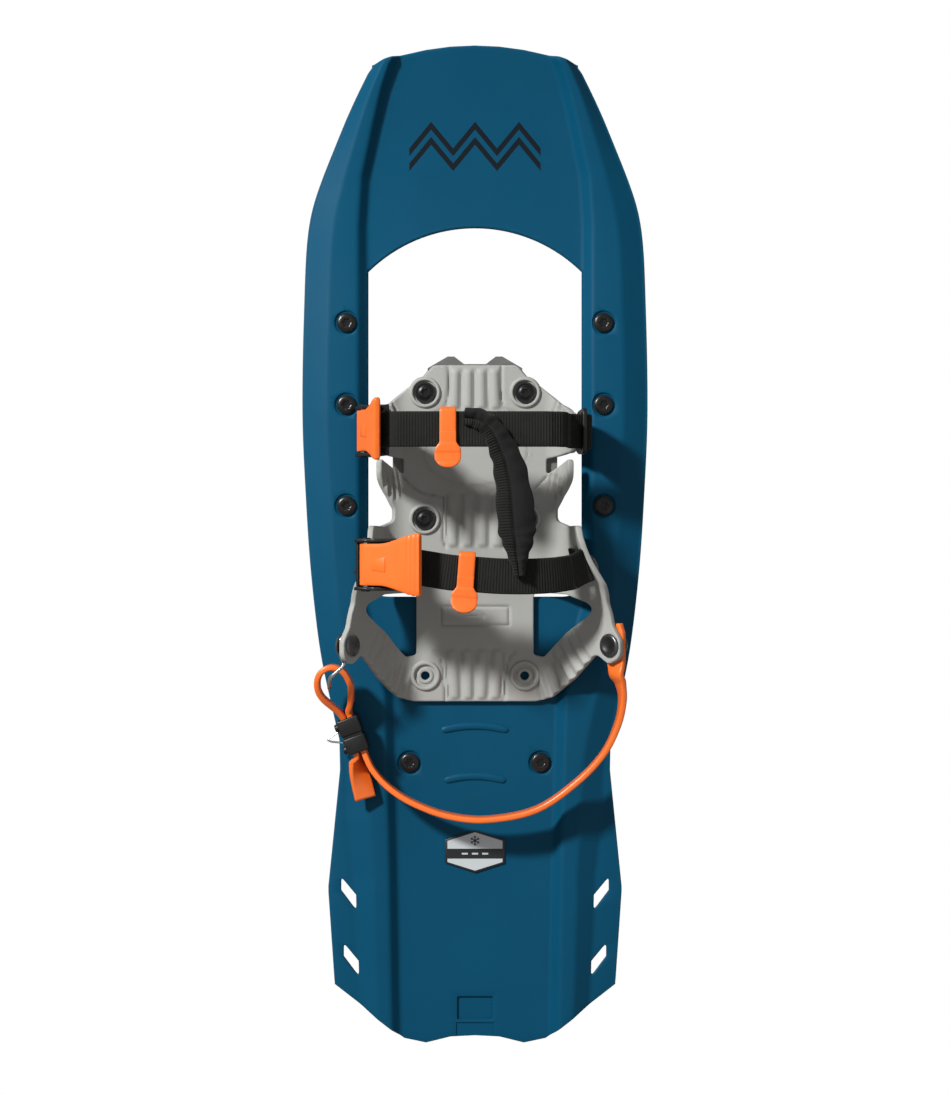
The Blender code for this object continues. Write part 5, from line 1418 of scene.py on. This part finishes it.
def knurled_screw(node_name, x, y):
    """Flat black screw with a ring of fine teeth round a six-lobed socket."""
    seat = HARNESS_Z + HARNESS_T
    low = seat + GAP
    top = low + 0.0019
    end = seat - 0.0126
    profile = [(0.0, end), (SHANK_R, end), (SHANK_R, low), (0.0058, low), (0.0062, low + 0.0004),
               (0.0062, top - 0.0004), (0.0059, top), (0.0050, top), (0.0047, top - 0.0004),
               (0.0034, top - 0.0004), (0.0030, top - 0.0001), (0.0021, top - 0.0001),
               (0.0019, top - 0.0014), (0.0, top - 0.0015)]
    inner, outer = lobed(0.0022, 6, 0.16), lobed(0.0063, 24, 0.018)

    def shape(vert):
        if sqrt(vert.co.x ** 2 + vert.co.y ** 2) > 0.0045:
            outer(vert)
        elif vert.co.z > low:
            inner(vert)

    made = turned(profile, Matrix.Translation((x, y, 0)), 96, shape)
    item = put(node_name + "_looks", made, SCREW, "harness", (node_name,), 50)


def all_screws():
    names = ("front", "middle", "rear")
    for index, (x, y) in enumerate(RAIL_SCREWS):
        label = "rail_screw_" + names[index // 2] + ("_left" if x < 0 else "_right")
        deck_screw(label, x, y, FLOOR_Z + RAIL_RISE)
    for x, y in HEEL_SCREWS:
        deck_screw("heel_screw_left" if x < 0 else "heel_screw_right", x, y, FLOOR_Z)
    for row, (x, y) in zip(("front", "rear"), HARNESS_SCREWS):
        for side, label in ((-1, "left"), (1, "right")):
            knurled_screw(f"harness_screw_{row}_{label}", side * x, y)


def rivet_piece(node_name, point, out, grip):
    """Dished steel head with a rolled rim, and a flat head on the far side."""
    axis = Vector(out).normalized()
    place = Matrix.Translation(point) @ axis.to_track_quat("Z", "Y").to_matrix().to_4x4()
    low = -grip - GAP
    profile = [(0.0, low - 0.0016), (0.0052, low - 0.0015), (0.0061, low - 0.0008), (0.0058, low),
               (RIVET_R, low), (RIVET_R, GAP), (0.0064, GAP), (0.0068, GAP + 0.0006),
               (0.0064, GAP + 0.0013), (0.0055, GAP + 0.0016), (0.0040, GAP + 0.0013),
               (0.0030, GAP + 0.0006), (0.0, GAP + 0.0004)]
    put(node_name + "_looks", turned(profile, place, 48), STEEL_DARK, "harness",
        (node_name,), 50)


def heel_rivets():
    wing = wing_frame(*HEEL_RIVET_FLAT)
    point, out = wing.translation, wing.col[2].xyz
    rivet_piece("heel_rivet_right", point - out * HARNESS_T, -out,
                HARNESS_T + HEEL_STRAP_T + 2 * GAP)
    wing = wing_frame(-HEEL_RIVET_FLAT[0], HEEL_RIVET_FLAT[1])
    point, out = wing.translation, wing.col[2].xyz
    rivet_piece("heel_rivet_left", point + out * (HOOK_T + 2 * GAP), out,
                HARNESS_T + HOOK_T + 3 * GAP)


# ---- bars on the deck's floor --------------------------------------------------------
FLOOR_BARS = ((-0.1070, 0.0200), (-0.1367, 0.0184))     # place and half length
BAR_BOW = 0.0028
BAR_DEEP = 0.0022
BAR_RISE = 0.0012


def floor_bars():
    """Two low moulded bars with rounded ends, bowed to the toe, under the heel."""
    section = circle(0.0, 0.0, 1.0, 24)
    made = []
    for y, half in FLOOR_BARS:
        stations = []
        for share in np.linspace(-1.0, 1.0, 41):
            size = max(1.0 - abs(share) ** 14, 0.02) ** 0.5
            stations.append(((share * half, y + BAR_BOW * (1.0 - share ** 2), FLOOR_Z),
                             (0, 1, 0), BAR_DEEP * size, BAR_RISE * size))
        made.append(swept(stations, section, 0.0006))
    put("floor_bars", merge(made), BLUE, "frame", (), 0)


# ---- badge ---------------------------------------------------------------------------
BADGE_HALF = 0.0175
BADGE_HEIGHT = 0.0252
BADGE_T = 0.0008
BADGE_Y = -0.1780
BADGE_BORDER = 0.0013
BAND_LOW = -0.0042        # dark band across the badge, and its row of dashes
BAND_HIGH = 0.0016
DASH_Y = -0.0013
DASH_PITCH = 0.0060
DASH_HALF = 0.0018
CRYSTAL_Y = 0.0064        # snow crystal: centre, arm, place and length of its forks
CRYSTAL_ARM = 0.0029
FORK_AT = 0.0018
FORK_LENGTH = 0.0010
INK_T = 0.00018


def hexagon(half, rise):
    return [(0, rise), (-half, rise * 0.55), (-half, -rise * 0.55),
            (0, -rise), (half, -rise * 0.55), (half, rise * 0.55)]


def bar(x0, y0, x1, y1, width, low, high):
    """Flat bar between two points of the badge's face."""
    run = Vector((x1 - x0, y1 - y0)).normalized()
    side = Vector((-run.y, run.x)) * width / 2
    corners = [(x0 + side.x, y0 + side.y), (x0 - side.x, y0 - side.y),
               (x1 - side.x, y1 - side.y), (x1 + side.x, y1 + side.y)]
    return prism(corners, low, high)


def badge_piece():
    """Silver hexagon with a black border, a dark band and a plain snow crystal."""
    low = FLOOR_Z + GAP
    top = low + BADGE_T
    place = Matrix.Translation((0, BADGE_Y, 0))
    base = bevelled(prism(hexagon(BADGE_HALF, BADGE_HEIGHT / 2), low, top), 0.00025, 2)
    half = BADGE_HALF - BADGE_BORDER
    inner = prism(hexagon(half, BADGE_HEIGHT / 2 - BADGE_BORDER), top - 0.0002, top + TINY)
    band = [(-half, BAND_LOW), (half, BAND_LOW), (half, BAND_HIGH), (-half, BAND_HIGH)]
    marks = [prism(band, top, top + INK_T)]
    centre = Vector((0.0, CRYSTAL_Y))
    for k in range(6):
        turn = radians(60 * k + 30)
        arm = Vector((cos(turn), sin(turn)))
        marks.append(bar(*centre, *(centre + arm * CRYSTAL_ARM), 0.0006, top, top + INK_T))
        for fork in (-1, 1):
            lean = turn + fork * radians(55)
            start = centre + arm * FORK_AT
            end = start + Vector((cos(lean), sin(lean))) * FORK_LENGTH
            marks.append(bar(*start, *end, 0.0004, top, top + INK_T))
    dashes = [bar(k * DASH_PITCH - DASH_HALF, DASH_Y, k * DASH_PITCH + DASH_HALF, DASH_Y, 0.0010,
                  top + TINY, top + 0.00026) for k in (-1, 0, 1)]
    for name, mesh, look, stands_for in (
            ("badge_border", base, INK, ("size_badge",)), ("badge_face", inner, SILVER, ()),
            ("badge_marks", merge(marks), INK, ()), ("badge_dashes", merge(dashes), SILVER, ())):
        bmesh.ops.transform(mesh, matrix=place, verts=mesh.verts)
        put(name, mesh, look, "frame", stands_for, 30)


# ---- heel strap ----------------------------------------------------------------------
HOOK_T = 0.0012
HEEL_ROOT_Y = -0.0425     # toe end of the strap's root on the right wing
STRAP_START = (0.0034, 0.0070)    # square first points of the strap, behind its hinge
KEEPER_AT = Vector((-0.0687, -0.1070, 0.0452))
KEEPER_ALONG = Vector((0.356, -0.934, 0)).normalized()
KEEPER_OUT = Vector((-0.934, -0.356, 0)).normalized()
KEEPER_HALF_L = 0.0105
KEEPER_WALL = 0.0016
KEEPER_SPLIT = 0.0007     # half of the gap between the sleeve's two blocks
NECK_IN = 0.0008          # how far the neck between them lies below their faces
KNOB_AT = 0.0068
RUN_PITCH = 0.0047
# Centre line of the strap behind the right rivet: (x, y, z, tilt in degrees).
BACK_RUN = (
    (0.0834, -0.0775, 0.0640, -14), (0.0847, -0.0870, 0.0617, -6),
    (0.0822, -0.1010, 0.0590, -2), (0.0742, -0.1180, 0.0563, 0),
    (0.0590, -0.1345, 0.0540, 0), (0.0360, -0.1505, 0.0525, 0), (0.0083, -0.1565, 0.0515, 0),
    (-0.0146, -0.1548, 0.0505, 0), (-0.0345, -0.1480, 0.0490, 0),
    (-0.0487, -0.1395, 0.0475, 0), (-0.0590, -0.1290, 0.0460, 0),
)
HOOK_LOOP = (
    (-0.0722, -0.0880, 0.0495, 0), (-0.0720, -0.0785, 0.0550, 0),
    (-0.0762, -0.0705, 0.0590, 0), (-0.0830, -0.0680, 0.0605, 0),
    (-0.0890, -0.0715, 0.0600, 0), (-0.0908, -0.0785, 0.0575, 0),
    (-0.0880, -0.0860, 0.0535, 0),
)
STRAP_TAIL = ((-0.0695, -0.1240, 0.0442, 25), (-0.0665, -0.1350, 0.0430, 62),
              (-0.0640, -0.1455, 0.0420, 75))
CORNER = ((1.0, 0.0), (0.995, 0.42), (0.97, 0.72), (0.92, 0.90), (0.84, 0.98))


def strap_end(t):
    """Centre of the heel strap against the outer face of the right wing."""
    return bent(HEEL_RIVET_FLAT[0], t, -(GAP + HEEL_STRAP_T / 2))


def heel_path():
    """Centre line of the strap as (x, y, z, tilt): round the heel, the hook and the keeper."""
    tilt = -(90 - LEAN_HEEL[1] * 180 / pi)
    points = [(*strap_end(HINGE_Y - back), tilt * (1 - 60 * back)) for back in STRAP_START]
    points += BACK_RUN
    points += [(*(KEEPER_AT + KEEPER_ALONG * step), 0) for step in (0.0120, 0.0, -0.0125)]
    points += HOOK_LOOP
    left = KEEPER_AT + KEEPER_OUT * RUN_PITCH
    points += [(*(left + KEEPER_ALONG * step), 0) for step in (-0.0125, 0.0, 0.0120)]
    return smooth_path(points + list(STRAP_TAIL), 6)


def heel_strap_piece():
    """Strap with its flat root on the right wing: one piece, swept round behind the rivet and
    attached to no body.
    """
    s = HEEL_RIVET_FLAT[0]
    stations = []
    for t in np.linspace(HEEL_ROOT_Y, HINGE_Y, 14):
        up = (bent(s + 0.002, t, 0.0) - bent(s - 0.002, t, 0.0)).normalized()
        half = HEEL_STRAP_W * (0.33 + 0.17 * ease((HEEL_ROOT_Y - t) / 0.006))
        stations.append((strap_end(t), up, half, HEEL_STRAP_T / 2))
    path = heel_path()
    for k, (x, y, z, tilt) in enumerate(path):
        behind, ahead = around(path, k)
        side = (Vector(ahead[:3]) - Vector(behind[:3])).cross(Vector((0, 0, 1))).normalized()
        across = Vector((0, 0, 1)) * cos(radians(tilt)) + side * sin(radians(tilt))
        stations.append(((x, y, z), across, HEEL_STRAP_W / 2, HEEL_STRAP_T / 2))
    section = both_faces([(-a, b) for a, b in CORNER] + [(0.0, 1.0)] + list(reversed(CORNER)))
    made = swept(stations, section, 0.0013)
    item = put("heel_strap_looks", made, ORANGE_SOFT, None, ("heel_strap_root", "heel_strap"), 0)
    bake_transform(item)


def keeper_block():
    """Black keeper on the heel strap: a two-part sleeve with knobs on its outer side."""
    place = frame_at(KEEPER_AT + KEEPER_OUT * RUN_PITCH / 2, KEEPER_ALONG,
                     Vector((0, 0, 1)).cross(KEEPER_ALONG), Vector((0, 0, 1)))
    half_y = RUN_PITCH / 2 + HEEL_STRAP_T / 2 + PLAY
    half_z = HEEL_STRAP_W / 2 + PLAY
    outer = half_y + KEEPER_WALL
    outer_z = half_z + KEEPER_WALL
    pieces = []
    for low, high in ((-KEEPER_HALF_L, -KEEPER_SPLIT), (KEEPER_SPLIT, KEEPER_HALF_L)):
        block = prism([(low, -outer), (high, -outer), (high, outer), (low, outer)],
                      -outer_z, outer_z, place)
        pieces.append(bevelled(block, 0.0009, 3))
    neck = prism(centred_box(0.002, outer - NECK_IN), -outer_z + NECK_IN, outer_z - NECK_IN,
                 place)
    item = put("heel_keeper", merge(pieces), BLACK, "heel_strap", ("heel_buckle",), 40)
    combine(item, [neck], "UNION")
    combine(item, [prism(centred_box(0.03, half_y), -half_z, half_z, place)], "DIFFERENCE")
    smooth(item, 40)
    knobs = []
    outward = 1.0 if place.col[1].xyz.dot(KEEPER_OUT) > 0 else -1.0
    turn = (place.col[1].xyz * outward).to_track_quat("Z", "Y").to_matrix().to_4x4()
    profile = [(0.0, 0.0), (0.0024, 0.0), (0.0024, 0.0016), (0.0020, 0.0023), (0.0, 0.0026)]
    for step in (-KNOB_AT, KNOB_AT):
        root = place @ Vector((step, outward * (outer - 0.0004), half_z - 0.0026))
        knobs.append(turned(profile, Matrix.Translation(root) @ turn, 24))
    knob_item = put("heel_keeper_knobs", merge(knobs), BLACK, "heel_strap", (), 40)


def hook_piece():
    """Steel hook on the left heel rivet: a rounded plate and a bent wire."""
    s, t = HEEL_RIVET_FLAT
    wing = wing_frame(-s, t)
    point, out = wing.translation, wing.col[2].xyz
    place = frame_at(point + out * 2 * GAP, wing.col[0].xyz, Vector((0, -1, 0)), out)
    outline = rounded([(-0.0055, -0.0060, 0.004), (0.0055, -0.0060, 0.004),
                       (0.0050, 0.0060, 0.003), (0.0024, 0.0100, 0.001),
                       (-0.0014, 0.0100, 0.001), (-0.0050, 0.0060, 0.003)], 8)
    plate = bevelled(prism(outline, 0.0, HOOK_T, place), 0.0003, 2)
    start = place @ Vector((0.0005, 0.0088, HOOK_T / 2))
    bend = [start, start + Vector((-0.0015, -0.0035, 0.0005)),
            Vector((-0.0825, -0.0735, start.z - 0.0005)), Vector((-0.0835, -0.0785, 0.0665)),
            Vector((-0.0840, -0.0800, 0.0590)), Vector((-0.0845, -0.0805, 0.0520))]
    put("heel_hook_looks", merge([plate, tube(bend, 0.0011, 16, 8)]), BRIGHT_STEEL, "harness",
        ("heel_hook",), 40)


all_screws()
heel_rivets()
floor_bars()
badge_piece()
heel_strap_piece()
keeper_block()
hook_piece()


# ---- parts that keep their CAD shape ---------------------------------------------------
CARRIED = (
    (STEEL, ("traction_rail", "heel_crampon", "rail_nut", "heel_nut", "harness_nut",
             "pivot_axle")),
    (CLAW_STEEL, ("toe_crampon",)),
    (BRIGHT_STEEL, ("toe_buckle_pin", "instep_buckle_pin", "heel_buckle_wire")),
    (STEEL_DARK, ("axle_clip", "toe_buckle_rivet", "toe_anchor_rivet", "instep_buckle_rivet",
                  "instep_anchor_plate")),
    (BLACK, ("axle_bush",)),
)
for name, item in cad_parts.items():
    if item.hide_render:
        continue
    look = next(look for look, starts in CARRIED if name.startswith(starts))
    item.data.materials.clear()
    item.data.materials.append(look)


# ---- studio --------------------------------------------------------------------------
CAMERA_HEIGHT = 1.335
FRAME_TALL = 0.6430       # metres that the picture's height spans at the deck's plane
DECK_PLANE = 0.035
SENSOR = 36.0


WHITE = (1.0, 1.0, 1.0, 1.0)
SHEET_HALF = 6.0
LAMPS = (                 # name, place, watts, size
    ("key", (-1.10, 0.95, 1.35), 56.0, 0.20),
    ("fill", (1.6, -0.6, 1.9), 4.0, 2.2),
    ("top", (0.0, 0.0, 2.6), 4.0, 3.0),
)


def studio():
    """Plain white sheet, a key light from the nose's left, soft fill and a pale surround."""
    floor = bpy.data.meshes.new("floor")
    half = SHEET_HALF
    floor.from_pydata([(-half, -half, 0), (half, -half, 0), (half, half, 0), (-half, half, 0)],
                      [], [(0, 1, 2, 3)])
    ground = bpy.data.objects.new("floor", floor)
    bpy.context.collection.objects.link(ground)
    ground.visible_diffuse = False
    ground.visible_glossy = False
    floor.materials.append(start_material("paper", {
        "Base Color": (0.0, 0.0, 0.0, 1.0), "Specular IOR Level": 0.0, "Emission Color": WHITE,
        "Emission Strength": 1.0})[0])
    for name, place, power, size in LAMPS:
        light = bpy.data.lights.new(name, "AREA")
        light.energy = power
        light.size = size
        lamp = bpy.data.objects.new(name, light)
        lamp.location = place
        lamp.rotation_euler = (-Vector(place)).to_track_quat("-Z", "Y").to_euler()
        bpy.context.collection.objects.link(lamp)
    world = bpy.data.worlds.new("surround")
    world.use_nodes = True
    feed(world.node_tree, world.node_tree.nodes["Background"],
         {"Color": WHITE, "Strength": 0.26})
    bpy.context.scene.world = world
    view = bpy.data.cameras.new("camera")
    view.sensor_fit = "VERTICAL"
    view.sensor_height = SENSOR
    view.sensor_width = SENSOR
    view.lens = SENSOR * (CAMERA_HEIGHT - DECK_PLANE) / FRAME_TALL
    camera = bpy.data.objects.new("camera", view)
    camera.location = (0.0, 0.001, CAMERA_HEIGHT)
    bpy.context.collection.objects.link(camera)
    bpy.context.scene.camera = camera


studio()
bpy.context.scene.view_settings.view_transform = "Standard"
